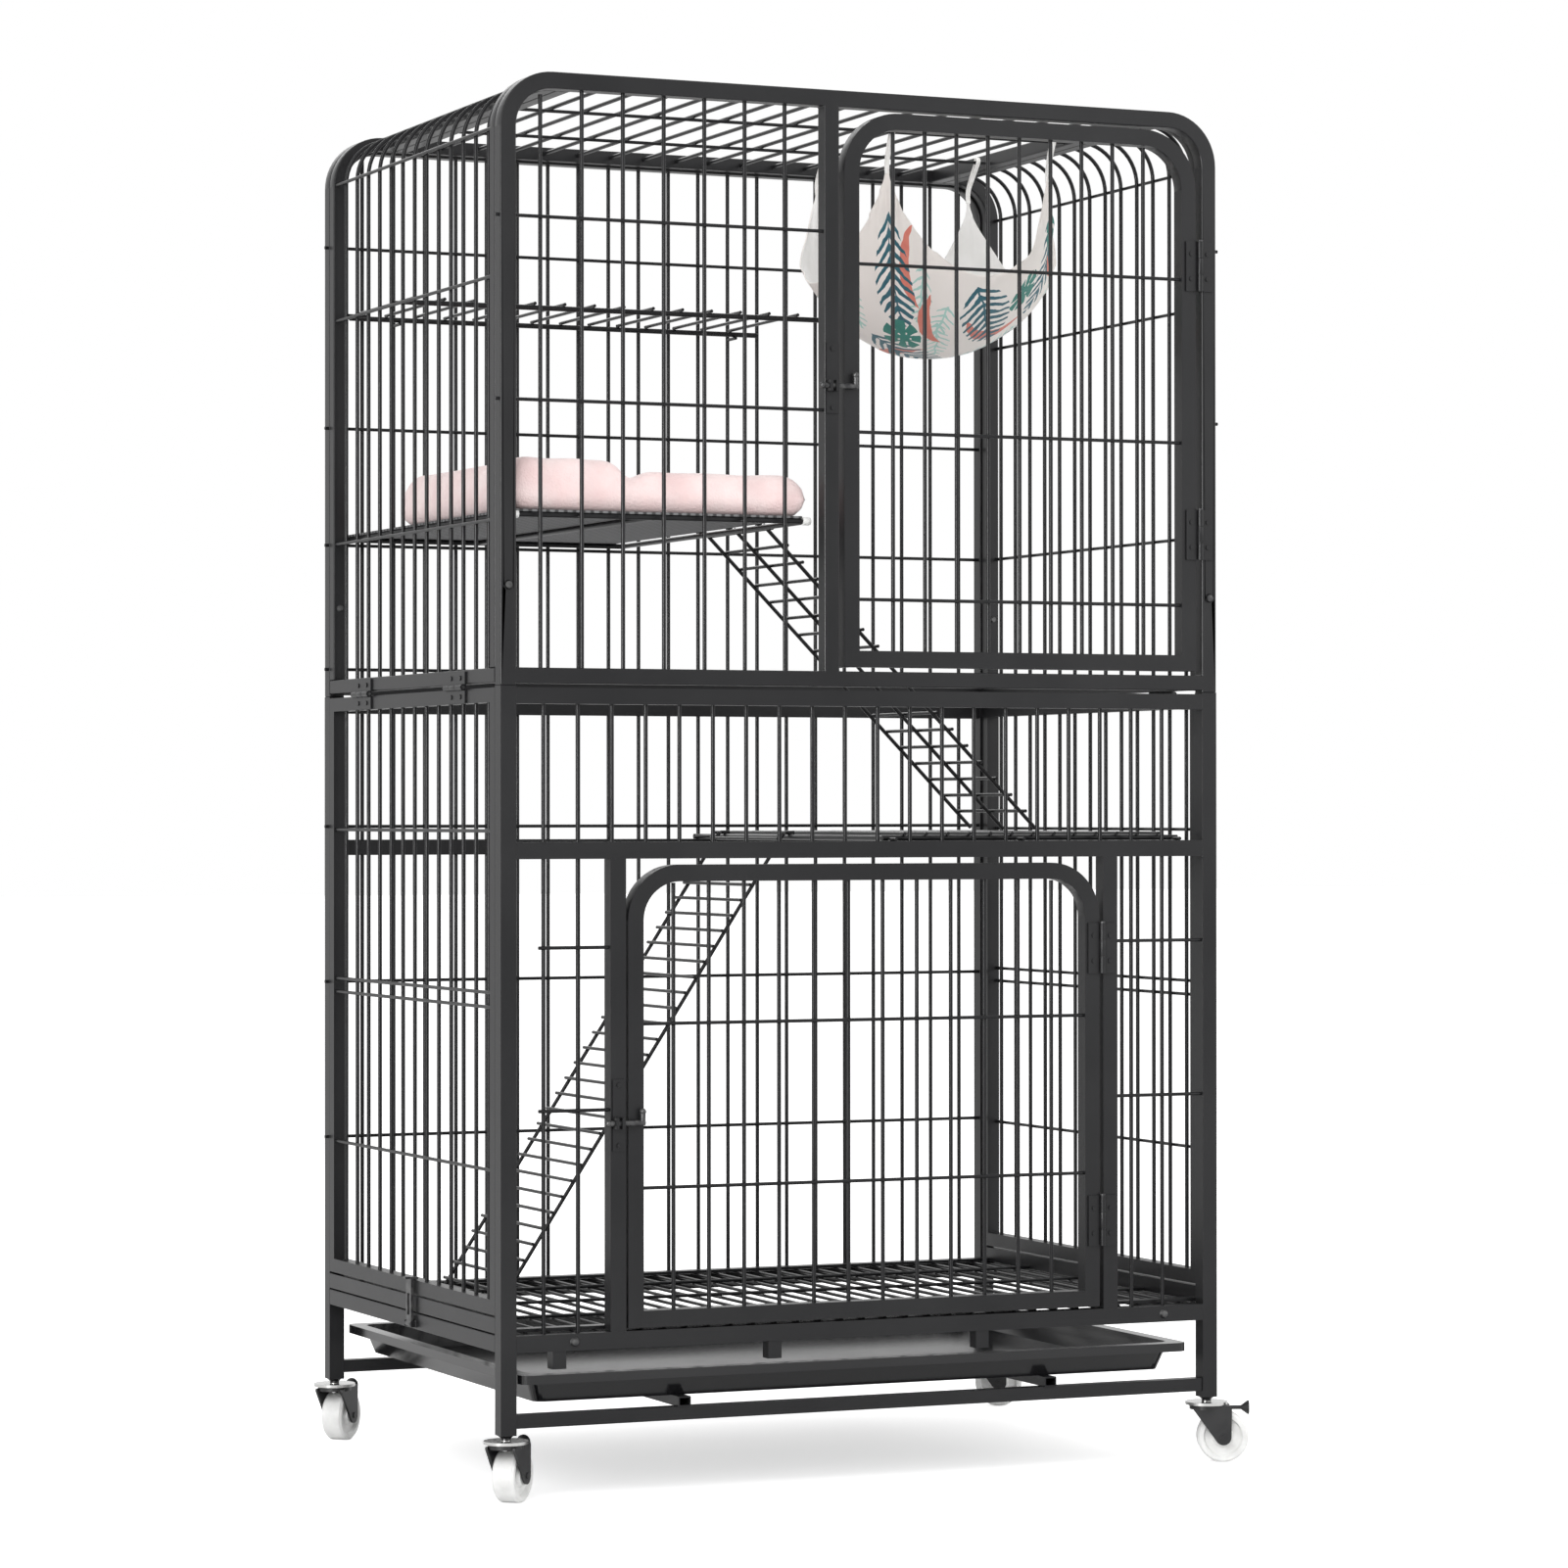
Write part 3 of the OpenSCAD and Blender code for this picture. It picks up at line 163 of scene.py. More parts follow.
def grain(tree, shader, scale, strength, distance=0.0002, detail=3.0):
    """Fine bump of a coat or a moulding, from noise in object space."""
    place = node_of(tree, "ShaderNodeTexCoord")
    ripple = node_of(tree, "ShaderNodeTexNoise", in_Scale=scale, in_Detail=detail)
    bump = node_of(tree, "ShaderNodeBump", in_Strength=strength, in_Distance=distance)
    tree.links.new(place.outputs["Object"], ripple.inputs["Vector"])
    tree.links.new(ripple.outputs["Fac"], bump.inputs["Height"])
    tree.links.new(bump.outputs["Normal"], shader.inputs["Normal"])
    return place


def mottle(tree, shader, place, scale, dark, light, rough=None):
    """Slow change of colour over a surface, and of its roughness where two values are given."""
    cloud = node_of(tree, "ShaderNodeTexNoise", in_Scale=scale, in_Detail=4.0)
    ramp = node_of(tree, "ShaderNodeValToRGB")
    ramp.color_ramp.elements[0].position = 0.35
    ramp.color_ramp.elements[0].color = (*dark, 1.0)
    ramp.color_ramp.elements[1].position = 0.65
    ramp.color_ramp.elements[1].color = (*light, 1.0)
    tree.links.new(place.outputs["Object"], cloud.inputs["Vector"])
    tree.links.new(cloud.outputs["Fac"], ramp.inputs["Fac"])
    tree.links.new(ramp.outputs["Color"], shader.inputs["Base Color"])
    if rough:
        spread = node_of(tree, "ShaderNodeMapRange", in_3=rough[0], in_4=rough[1])
        tree.links.new(cloud.outputs["Fac"], spread.inputs[0])
        tree.links.new(spread.outputs[0], shader.inputs["Roughness"])


def dress(material, *names):
    """Gives CAD nodes a finish through their own material slots."""
    for name in names:
        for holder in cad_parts[name].material_slots:
            holder.material = material


def round_edges(width, *names):
    """Rounds the sharp corners of CAD nodes with modifiers, and leaves their meshes as they are."""
    for name in names:
        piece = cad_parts[name]
        weld = piece.modifiers.new("close", "WELD")
        weld.merge_threshold = 0.000005
        edge = piece.modifiers.new("corners", "BEVEL")
        edge.width = width
        edge.segments = 3
        edge.limit_method = "ANGLE"
        edge.angle_limit = math.radians(50)


steel, steel_tree, steel_shader = finish_of("charcoal_coat", STEEL_GREY, 0.42, Specular_IOR_Level=0.3)
steel_place = grain(steel_tree, steel_shader, 700.0, 0.12)
mottle(steel_tree, steel_shader, steel_place, 9.0, (0.01, 0.01, 0.011), (0.015, 0.015, 0.016),
       (0.3, 0.4))
TUBE_NODES = ["front_posts", "rear_posts", "front_lower_frame", "rear_lower_frame",
              "base_side_rails", "front_hoop", "rear_hoop", "side_roof_frame",
              "upper_door_frame", "lower_door_frame", "left_panel_frame", "right_panel_frame"]
dress(steel, *TUBE_NODES, "door_hinge_leaves", "panel_hinge_leaves", "latch_plates")
round_edges(TUBE_CORNER, *TUBE_NODES)


# Welded wire: drawn steel rod under the same coat, set darker than the tube as painted shade, since so thin
# a bar looks darker.
wire, wire_tree, wire_shader = finish_of("wire_coat", (0.005, 0.005, 0.0055), 0.3,
                                         Specular_IOR_Level=0.25)
wire_place = grain(wire_tree, wire_shader, 1200.0, 0.08, 0.0001)
mottle(wire_tree, wire_shader, wire_place, 14.0, (0.007, 0.007, 0.008), (0.012, 0.012, 0.013))
dress(wire, "floor_grid", "front_lower_grille", "rear_lower_grille", "front_upper_grille",
      "rear_upper_grille", "side_roof_wires", "wire_shelf", "cushion_shelf_frame",
      "second_floor", "upper_ladder", "lower_ladder", "upper_door_wires", "lower_door_wires",
      "left_panel_wires", "right_panel_wires", "tray_runners")


# Hinge pins, bolts, latch rods, clips and snap buttons: zinc-plated steel, blackened,
# with brighter patches scattered over it at random.
fitting, fitting_tree, fitting_shader = finish_of("black_zinc", (0.05, 0.05, 0.052), 0.34, 0.55)
fitting_place = grain(fitting_tree, fitting_shader, 900.0, 0.1, 0.0001)
mottle(fitting_tree, fitting_shader, fitting_place, 160.0, (0.03, 0.03, 0.032), (0.11, 0.11, 0.11),
       (0.28, 0.46))
dress(fitting, "hinge_pins", "frame_bolts", "snap_springs", "upper_latch_bolt",
      "lower_latch_bolt", "left_clip", "right_clip", "snap_button_fl", "snap_button_fr",
      "snap_button_rl", "snap_button_rr")


# Tray: black plastic with a flat lip turned down at its edge, glossy and very finely grained.
tray_black, tray_tree, tray_shader = finish_of("tray_black", (0.006, 0.006, 0.007), 0.14)
tray_place = grain(tray_tree, tray_shader, 420.0, 0.08, 0.0002)
mottle(tray_tree, tray_shader, tray_place, 6.0, (0.005, 0.005, 0.006), (0.009, 0.009, 0.01),
       (0.1, 0.2))
dress(tray_black, "tray")


# Shelf board: grey needle-punched felt with rows of small holes, seen mostly from below.
board, board_tree, board_shader = finish_of("dotted_board", (0.09, 0.09, 0.093), 0.8)
HOLE_PITCH = 0.0085
HOLE_RADIUS = 0.25
board_place = node_of(board_tree, "ShaderNodeTexCoord")
board_scale = node_of(board_tree, "ShaderNodeVectorMath", operation="SCALE")
board_scale.inputs["Scale"].default_value = 1.0 / HOLE_PITCH
board_cell = node_of(board_tree, "ShaderNodeVectorMath", operation="FRACTION")
board_middle = node_of(board_tree, "ShaderNodeVectorMath", operation="SUBTRACT")
board_middle.inputs[1].default_value = (0.5, 0.5, 0.0)
board_flat = node_of(board_tree, "ShaderNodeVectorMath", operation="MULTIPLY")
board_flat.inputs[1].default_value = (1.0, 1.0, 0.0)
board_reach = node_of(board_tree, "ShaderNodeVectorMath", operation="LENGTH")
board_dot = node_of(board_tree, "ShaderNodeMapRange", in_1=HOLE_RADIUS - 0.05, in_2=HOLE_RADIUS + 0.05)
board_mix = node_of(board_tree, "ShaderNodeMix", data_type="RGBA")
board_mix.inputs[6].default_value = (0.035, 0.035, 0.036, 1.0)
board_mix.inputs[7].default_value = (0.17, 0.17, 0.174, 1.0)
board_bump = node_of(board_tree, "ShaderNodeBump", in_Strength=0.6, in_Distance=0.0006)
board_links = board_tree.links
board_links.new(board_place.outputs["Object"], board_scale.inputs[0])
board_links.new(board_scale.outputs[0], board_cell.inputs[0])
board_links.new(board_cell.outputs[0], board_middle.inputs[0])
board_links.new(board_middle.outputs[0], board_flat.inputs[0])
board_links.new(board_flat.outputs[0], board_reach.inputs[0])
board_links.new(board_reach.outputs["Value"], board_dot.inputs[0])
board_links.new(board_dot.outputs[0], board_mix.inputs[0])
board_links.new(board_mix.outputs[2], board_shader.inputs["Base Color"])
board_links.new(board_dot.outputs[0], board_bump.inputs["Height"])
board_links.new(board_bump.outputs["Normal"], board_shader.inputs["Normal"])
dress(board, "cushion_shelf_board")


# Casters: a pressed black fork under a bright zinc race, a white nylon wheel on a
# riveted axle, and a black plastic brake pedal.
CORNERS = ["fl", "fr", "rl", "rr"]
fork_black, fork_tree, fork_shader = finish_of("fork_black", (0.012, 0.012, 0.013), 0.36)
fork_place = grain(fork_tree, fork_shader, 500.0, 0.12)
mottle(fork_tree, fork_shader, fork_place, 60.0, (0.01, 0.01, 0.011), (0.02, 0.02, 0.021))
pedal_black, pedal_tree, pedal_shader = finish_of("pedal_black", (0.01, 0.01, 0.011), 0.5)
pedal_place = grain(pedal_tree, pedal_shader, 900.0, 0.3, 0.0002)
mottle(pedal_tree, pedal_shader, pedal_place, 80.0, (0.008, 0.008, 0.009), (0.016, 0.016, 0.017))
nylon, nylon_tree, nylon_shader = finish_of("wheel_nylon", (0.82, 0.82, 0.81), 0.4,
                                            Subsurface_Weight=0.25, Subsurface_Scale=1.0,
                                            Subsurface_Radius=(0.004, 0.004, 0.004))
nylon_place = grain(nylon_tree, nylon_shader, 260.0, 0.15, 0.0003)
mottle(nylon_tree, nylon_shader, nylon_place, 70.0, (0.76, 0.76, 0.75), (0.86, 0.86, 0.85))
RACE_TOP = 0.0568
zinc, zinc_tree, zinc_shader = finish_of("bright_zinc", (0.6, 0.6, 0.6), 0.2, 1.0)
zinc_place = grain(zinc_tree, zinc_shader, 700.0, 0.12)
zinc_split = node_of(zinc_tree, "ShaderNodeSeparateXYZ")
zinc_above = node_of(zinc_tree, "ShaderNodeMath", operation="GREATER_THAN", in_1=RACE_TOP)
zinc_mix = node_of(zinc_tree, "ShaderNodeMix", data_type="RGBA")
zinc_mix.inputs[6].default_value = (0.62, 0.62, 0.61, 1.0)
zinc_mix.inputs[7].default_value = (0.012, 0.012, 0.013, 1.0)
zinc_bare = node_of(zinc_tree, "ShaderNodeMath", operation="SUBTRACT", in_0=1.0)
zinc_tree.links.new(zinc_place.outputs["Object"], zinc_split.inputs[0])
zinc_tree.links.new(zinc_split.outputs[2], zinc_above.inputs[0])
zinc_tree.links.new(zinc_above.outputs[0], zinc_mix.inputs[0])
zinc_tree.links.new(zinc_mix.outputs[2], zinc_shader.inputs["Base Color"])
zinc_tree.links.new(zinc_above.outputs[0], zinc_bare.inputs[1])
zinc_tree.links.new(zinc_bare.outputs[0], zinc_shader.inputs["Metallic"])
dress(zinc, "caster_stems")
for corner in CORNERS:
    dress(fork_black, "caster_fork_" + corner)
    dress(pedal_black, "brake_pedal_" + corner)
    dress(nylon, "caster_wheel_" + corner)


# Cushion: a pale pink plush pad, thicker where it is turned over at the left, with a seam
# round its middle and soft dents where it has been lain on.
cushion_low, cushion_high = (Vector(corner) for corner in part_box("cushion"))
PAD_ACROSS = 96
PAD_DEEP = 88
PAD_ROUND = 0.02
PAD_PULL = 0.0072
PAD_SEAM = 0.015
FOLD_AT = 0.39
CREASE_AT = 0.41


def pad_edge(a, length):
    """Rises from 0 at the edge to 1 inside, along the quarter of a rounded square."""
    inside = min(1.0, min(a, 1 - a) * length / PAD_ROUND)
    return (1 - (1 - inside) ** 2.4) ** (1 / 2.4)


def pad_point(u, v, side):
    """A point of the pad's top (side 1) or underside (side 0)."""
    size = cushion_high - cushion_low
    x = cushion_low.x + size.x * u + (0.5 - u) * 2 * PAD_PULL * math.sin(math.pi * v)
    y = cushion_low.y + size.y * v + (0.5 - v) * 2 * PAD_PULL * math.sin(math.pi * u)
    crown = pad_edge(u, size.x) * pad_edge(v, size.y)
    seam = cushion_low.z + PAD_SEAM
    if side == 0:
        z = seam - (seam - cushion_low.z - 0.0006) * min(1.0, crown * 1.25)
        return Vector((x, y, z))
    fold = 1.0 / (1.0 + math.exp((u - FOLD_AT) * 30))
    height = 0.0225 + 0.0105 * fold
    lump = noise.noise(Vector((x * 11, y * 11, 3.1))) * 0.0028
    wrinkle = noise.noise(Vector((x * 40, y * 16, 7.7))) * 0.0012
    crease = -0.008 * math.exp(-((u - CREASE_AT - 0.04 * math.sin(v * 5)) * 26) ** 2)
    z = seam + crown * (height + lump + wrinkle + crease)
    return Vector((x, y, min(z, cushion_high.z + 0.004)))


def shaped(name, mesh):
    """The smooth-shaded object of a mesh, linked to the scene."""
    data = bpy.data.meshes.new(name)
    mesh.to_mesh(data)
    mesh.free()
    for face in data.polygons:
        face.use_smooth = True
    piece = bpy.data.objects.new(name, data)
    scene.collection.objects.link(piece)
    return piece


def grid_shell(name, across, deep, place):
    """Closed pillow of two grids that meet along their rim."""
    mesh = bmesh.new()
    top = [[mesh.verts.new(place(i / across, j / deep, 1)) for i in range(across + 1)]
           for j in range(deep + 1)]
    low = [[top[j][i] if i in (0, across) or j in (0, deep)
            else mesh.verts.new(place(i / across, j / deep, 0)) for i in range(across + 1)]
           for j in range(deep + 1)]
    for j in range(deep):
        for i in range(across):
            mesh.faces.new((top[j][i], top[j][i + 1], top[j + 1][i + 1], top[j + 1][i]))
            mesh.faces.new((low[j][i], low[j + 1][i], low[j + 1][i + 1], low[j][i + 1]))
    return shaped(name, mesh)


pad = grid_shell("plush_cushion", PAD_ACROSS, PAD_DEEP, pad_point)
plush, plush_tree, plush_shader = finish_of("pink_plush", (0.9, 0.7, 0.69), 0.95,
                                            Sheen_Weight=0.5, Sheen_Roughness=0.5)
plush_place = grain(plush_tree, plush_shader, 520.0, 0.7, 0.0012, 6.0)
mottle(plush_tree, plush_shader, plush_place, 26.0, (0.86, 0.64, 0.63), (0.93, 0.76, 0.745))
pad.data.materials.append(plush)
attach(pad, "frame")
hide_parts("cushion")


# Hammock: one square of thin brushed cloth hung by its four corners, printed outside with
# loose leaves and blank inside. It is let fall from a shallow bowl until it hangs still.
CLOTH_SIDE = 0.285
CLOTH_CELLS = 44
CLOTH_STEP = CLOTH_SIDE / CLOTH_CELLS
CLOTH_THICK = 0.0011
HEM = 0.007
STITCH_HALF = 0.0007
WEAVE_TURNS = 9000.0
TIE_HEIGHT = 1.2345
TIES = {(0, 0): (0.459, 0.1745), (CLOTH_CELLS, 0): (0.631, 0.1745),
        (CLOTH_CELLS, CLOTH_CELLS): (0.629, 0.346), (0, CLOTH_CELLS): (0.463, 0.346)}
FALL_STEPS = 230
FALL_TIME = 0.012
GRAVITY = 9.81
DRAG = 0.97
FALL_PASSES = 14
# Threads between points this many cells apart: how firmly they pull, and how firmly they push.
# The long ones stand for the padding, which thins out towards the rim but not at the ties.
THREADS = [(1, 1.0, 0.9), (2, 0.9, 0.9), (4, 0.85, 0.85), (8, 0.8, 0.8), (15, 0.8, 0.8)]
RIM_FIRMNESS = 0.05
RIM_SHARE = 1 / 6
TIED_SHARE = 0.14

across = numpy.linspace(0.0, 1.0, CLOTH_CELLS + 1)
cloth_u, cloth_v = numpy.meshgrid(across, across)
belly_u, belly_v = 4 * cloth_u * (1 - cloth_u), 4 * cloth_v * (1 - cloth_v)
cloth = numpy.empty((CLOTH_CELLS + 1, CLOTH_CELLS + 1, 3))
cloth[..., 0] = 0.459 + 0.172 * cloth_u + (cloth_u - 0.5) * 0.082 * belly_v
cloth[..., 1] = 0.1745 + 0.1715 * cloth_v + (cloth_v - 0.5) * 0.034 * belly_u * (1 + belly_v)
cloth[..., 2] = TIE_HEIGHT - 0.131 * numpy.maximum(belly_u, belly_v) ** 0.75
cloth[..., 2] -= 0.054 * (belly_u * belly_v) ** 0.8 + 0.003 * numpy.sin(15.7 * cloth_u) * belly_v
loose = numpy.ones((CLOTH_CELLS + 1, CLOTH_CELLS + 1, 1))
for column, row in TIES:
    loose[row, column] = 0.0


def thread_pairs():
    """Index pairs of all threads, in sets that share no point, with their length and firmness."""
    count = CLOTH_CELLS + 1
    every = numpy.arange(count)
    inset = numpy.minimum(1.0, numpy.minimum(across, 1 - across) / RIM_SHARE) ** 1.5
    tied = numpy.maximum(0.0, 1 - numpy.minimum(across, 1 - across) / TIED_SHARE)
    padding = RIM_FIRMNESS + (1 - RIM_FIRMNESS) * numpy.maximum(inset[:, None], tied[None, :])
    pairs = []
    for apart, pull, push in THREADS:
        firm = padding if apart > 1 else numpy.ones((count, count))
        for start in range(2 * apart):
            first = numpy.arange(start, count - apart, 2 * apart)
            if len(first):
                length = CLOTH_STEP * apart
                by_row = firm[:, first][..., None]
                by_column = by_row.transpose(1, 0, 2)
                pairs.append((numpy.ix_(first, every), numpy.ix_(first + apart, every), length,
                              pull * by_column, push * by_column))
                pairs.append((numpy.ix_(every, first), numpy.ix_(every, first + apart), length,
                              pull * by_row, push * by_row))
    left = numpy.arange(count - 1)
    for start in (0, 1):
        rows = numpy.arange(start, count - 1, 2)
        length = CLOTH_STEP * math.sqrt(2)
        pairs.append((numpy.ix_(rows, left), numpy.ix_(rows + 1, left + 1), length, 0.5, 0.2))
        pairs.append((numpy.ix_(rows, left + 1), numpy.ix_(rows + 1, left), length, 0.5, 0.2))
    return pairs


def settle(points, pairs):
    """Lets the cloth fall under its own weight until it hangs, held at its tied corners."""
    before = points.copy()
    drop = numpy.array([0.0, 0.0, -GRAVITY]) * FALL_TIME ** 2
    for moment in range(FALL_STEPS):
        speed = (points - before) * DRAG
        before = points.copy()
        points = points + (speed + drop) * loose
        for again in range(FALL_PASSES):
            for one, other, length, pull, push in pairs:
                start, end, free_start, free_end = points[one], points[other], loose[one], loose[other]
                gap = end - start
                far = numpy.sqrt((gap * gap).sum(-1, keepdims=True)) + 1e-9
                part = (far - length) / far
                shared = numpy.maximum(free_start + free_end, 1e-9)
                part = part * numpy.where(part > 0, pull, push) / shared
                points[one] = start + gap * part * free_start
                points[other] = end - gap * part * free_end
            for (column, row), (x, y) in TIES.items():
                points[row, column] = (x, y, TIE_HEIGHT)
    return points


cloth = settle(cloth, thread_pairs())
cloth_data = bpy.data.meshes.new("hammock_cloth")
count = CLOTH_CELLS + 1
cloth_faces = [(j * count + i, (j + 1) * count + i, (j + 1) * count + i + 1, j * count + i + 1)
               for j in range(CLOTH_CELLS) for i in range(CLOTH_CELLS)]
cloth_data.from_pydata([CAGE_CORNER + Vector(point) for point in cloth.reshape(-1, 3)], [], cloth_faces)
for face in cloth_data.polygons:
    face.use_smooth = True
cut_place = cloth_data.attributes.new("cut_place", "FLOAT_VECTOR", "POINT")
for index, value in enumerate(cut_place.data):
    value.vector = (index % count * CLOTH_STEP, index // count * CLOTH_STEP, 0.0)
hammock_cloth = bpy.data.objects.new("hammock_cloth", cloth_data)
scene.collection.objects.link(hammock_cloth)
finer = hammock_cloth.modifiers.new("finer", "SUBSURF")
finer.levels = finer.render_levels = 2
thicker = hammock_cloth.modifiers.new("thicker", "SOLIDIFY")
thicker.thickness = CLOTH_THICK
thicker.offset = 0.0
thicker.material_offset = 1


def step_of(tree, kind, *values):
    """One step of arithmetic on sockets or numbers, given back as a socket."""
    step = node_of(tree, "ShaderNodeMath", operation=kind)
    for place, value in enumerate(values):
        if isinstance(value, (int, float)):
            step.inputs[place].default_value = value
        else:
            tree.links.new(value, step.inputs[place])
    return step.outputs[0]


def painted(tree, under, colour, mask):
    """Lays a colour over what is under it, where the mask is 1."""
    paint = node_of(tree, "ShaderNodeMix", data_type="RGBA")
    tree.links.new(mask, paint.inputs[0])
    tree.links.new(under, paint.inputs[6])
    if hasattr(colour, "links"):
        tree.links.new(colour, paint.inputs[7])
    else:
        paint.inputs[7].default_value = (*colour, 1.0)
    return paint.outputs[2]


def laid_at(tree, cut, x, y, turn):
    """Distances along and across a motif whose root lies at x, y millimetres on the cut cloth."""
    lay = node_of(tree, "ShaderNodeMapping", vector_type="TEXTURE")
    lay.inputs["Location"].default_value = (x / 1000, y / 1000, 0.0)
    lay.inputs["Rotation"].default_value = (0.0, 0.0, math.radians(turn))
    split = node_of(tree, "ShaderNodeSeparateXYZ")
    tree.links.new(cut, lay.inputs["Vector"])
    tree.links.new(lay.outputs["Vector"], split.inputs[0])
    return split.outputs[0], split.outputs[1]


def frond(tree, along, aside, length, reach, pitch, body):
    """Mask of a palm frond: a thin stem with leaflets that lean forward on both sides."""
    off = step_of(tree, "ABSOLUTE", aside)
    middle = step_of(tree, "MULTIPLY_ADD", along, 2 / length, -1.0)
    bow = step_of(tree, "SUBTRACT", 1.0, step_of(tree, "MULTIPLY", middle, middle))
    round_bow = step_of(tree, "POWER", step_of(tree, "MAXIMUM", bow, 0.0), 0.6)
    width = step_of(tree, "MULTIPLY", round_bow, reach)
    within = step_of(tree, "LESS_THAN", off, width)
    lean = step_of(tree, "MULTIPLY_ADD", off, -0.9, along)
    stripe = step_of(tree, "FRACT", step_of(tree, "MULTIPLY", lean, 1 / pitch))
    slim = step_of(tree, "MULTIPLY_ADD", off, -0.5 * body / reach, body)
    leaflets = step_of(tree, "MULTIPLY", within, step_of(tree, "LESS_THAN", stripe, slim))
    on_stem = step_of(tree, "MULTIPLY", step_of(tree, "GREATER_THAN", bow, 0.0),
                      step_of(tree, "LESS_THAN", off, 0.0009))
    return step_of(tree, "MAXIMUM", leaflets, on_stem)


def split_leaf(tree, along, aside, size):
    """Mask of a round leaf with deep notches and a few small holes."""
    far = step_of(tree, "SQRT", step_of(tree, "ADD", step_of(tree, "MULTIPLY", along, along),
                                        step_of(tree, "MULTIPLY", aside, aside)))
    angle = step_of(tree, "ARCTAN2", aside, along)
    wave = step_of(tree, "COSINE", step_of(tree, "MULTIPLY", angle, 7.0))
    notch = step_of(tree, "SMOOTH_MAX", step_of(tree, "MULTIPLY_ADD", wave, 2.6, -1.5), 0.0, 0.2)
    swell = step_of(tree, "MULTIPLY_ADD", step_of(tree, "COSINE", angle), 0.18 * size, size)
    edge = step_of(tree, "SUBTRACT", swell, step_of(tree, "MULTIPLY", notch, 0.5 * size))
    ring = step_of(tree, "ABSOLUTE", step_of(tree, "SUBTRACT", far, 0.34 * size))
    spots = step_of(tree, "COSINE", step_of(tree, "MULTIPLY_ADD", angle, 5.0, 1.0))
    hole = step_of(tree, "MULTIPLY", step_of(tree, "LESS_THAN", ring, 0.06 * size),
                   step_of(tree, "GREATER_THAN", spots, 0.72))
    return step_of(tree, "SUBTRACT", step_of(tree, "LESS_THAN", far, edge), hole)


def brush_stroke(tree, along, aside, bend, sweep, wide):
    """Mask of a curved stroke that tapers to both ends."""
    lower = step_of(tree, "ADD", aside, bend)
    far = step_of(tree, "SQRT", step_of(tree, "ADD", step_of(tree, "MULTIPLY", along, along),
                                        step_of(tree, "MULTIPLY", lower, lower)))
    angle = step_of(tree, "MULTIPLY", step_of(tree, "ARCTAN2", along, lower), 1 / sweep)
    taper = step_of(tree, "SUBTRACT", 1.0, step_of(tree, "MULTIPLY", angle, angle))
    half = step_of(tree, "MULTIPLY", taper, wide)
    off = step_of(tree, "ABSOLUTE", step_of(tree, "SUBTRACT", far, bend))
    return step_of(tree, "LESS_THAN", off, half)


TEAL = (0.009, 0.075, 0.115)
EMERALD = (0.012, 0.17, 0.135)
CORAL = (0.66, 0.16, 0.12)
MINT = (0.42, 0.66, 0.6)
CLOTH_PALE = (0.88, 0.83, 0.79)
# Root x and y in mm on the cut cloth, turn in degrees and size in mm, for each kind of motif.
STROKES = [(66, 36, 60, 52), (176, 84, 20, 60), (104, 148, 95, 56), (236, 176, 130, 58), (54, 226, 10, 50),
           (190, 262, 80, 52), (262, 52, 100, 44), (150, 190, 150, 50), (106, 72, 62, 46)]
SPRIGS = [(12, 96, 35, 62), (118, 66, 70, 60), (164, 138, -30, 66), (222, 236, 140, 58), (96, 268, -20, 62),
          (282, 92, 120, 56), (24, 162, 80, 54), (86, 20, 76, 58), (122, 42, 92, 48)]
FRONDS = [(26, 18, 48, 98), (142, 14, 62, 92), (250, 122, 160, 96), (72, 128, 12, 84), (132, 232, -60, 88),
          (282, 276, 215, 96), (20, 278, -52, 92), (282, 20, 130, 90), (212, 204, 75, 80)]
LEAVES = [(98, 104, 200, 20), (206, 44, 60, 19), (40, 196, 120, 20), (172, 168, 300, 21), (252, 218, 20, 18),
          (112, 196, 250, 19), (226, 140, 10, 17), (268, 32, 40, 16)]

print_cloth, print_tree, print_shader = finish_of("leaf_print", CLOTH_PALE, 0.92,
                                                  Sheen_Weight=0.25, Sheen_Roughness=0.5)
cut = node_of(print_tree, "ShaderNodeAttribute", attribute_name="cut_place")
tremble = node_of(print_tree, "ShaderNodeTexNoise", in_Scale=70.0, in_Detail=2.0)
shift = node_of(print_tree, "ShaderNodeVectorMath", operation="SUBTRACT")
shift.inputs[1].default_value = (0.5, 0.5, 0.5)
sway = node_of(print_tree, "ShaderNodeVectorMath", operation="SCALE", in_Scale=0.006)
hand_drawn = node_of(print_tree, "ShaderNodeVectorMath", operation="ADD")
print_tree.links.new(cut.outputs["Vector"], tremble.inputs["Vector"])
print_tree.links.new(tremble.outputs["Color"], shift.inputs[0])
print_tree.links.new(shift.outputs[0], sway.inputs[0])
print_tree.links.new(cut.outputs["Vector"], hand_drawn.inputs[0])
print_tree.links.new(sway.outputs[0], hand_drawn.inputs[1])
drawn = hand_drawn.outputs[0]
wash = node_of(print_tree, "ShaderNodeTexNoise", in_Scale=130.0, in_Detail=3.0)
print_tree.links.new(cut.outputs["Vector"], wash.inputs["Vector"])
inks = {}
for ink, deep, pale in [("teal", TEAL, (0.03, 0.16, 0.2)), ("emerald", EMERALD, (0.03, 0.25, 0.2)),
                        ("coral", CORAL, (0.74, 0.27, 0.2))]:
    shade = node_of(print_tree, "ShaderNodeMix", data_type="RGBA")
    shade.inputs[6].default_value = (*deep, 1.0)
    shade.inputs[7].default_value = (*pale, 1.0)
    print_tree.links.new(wash.outputs["Fac"], shade.inputs[0])
    inks[ink] = shade.outputs[2]
ground = node_of(print_tree, "ShaderNodeRGB")
ground.outputs[0].default_value = (*CLOTH_PALE, 1.0)
layer = ground.outputs[0]
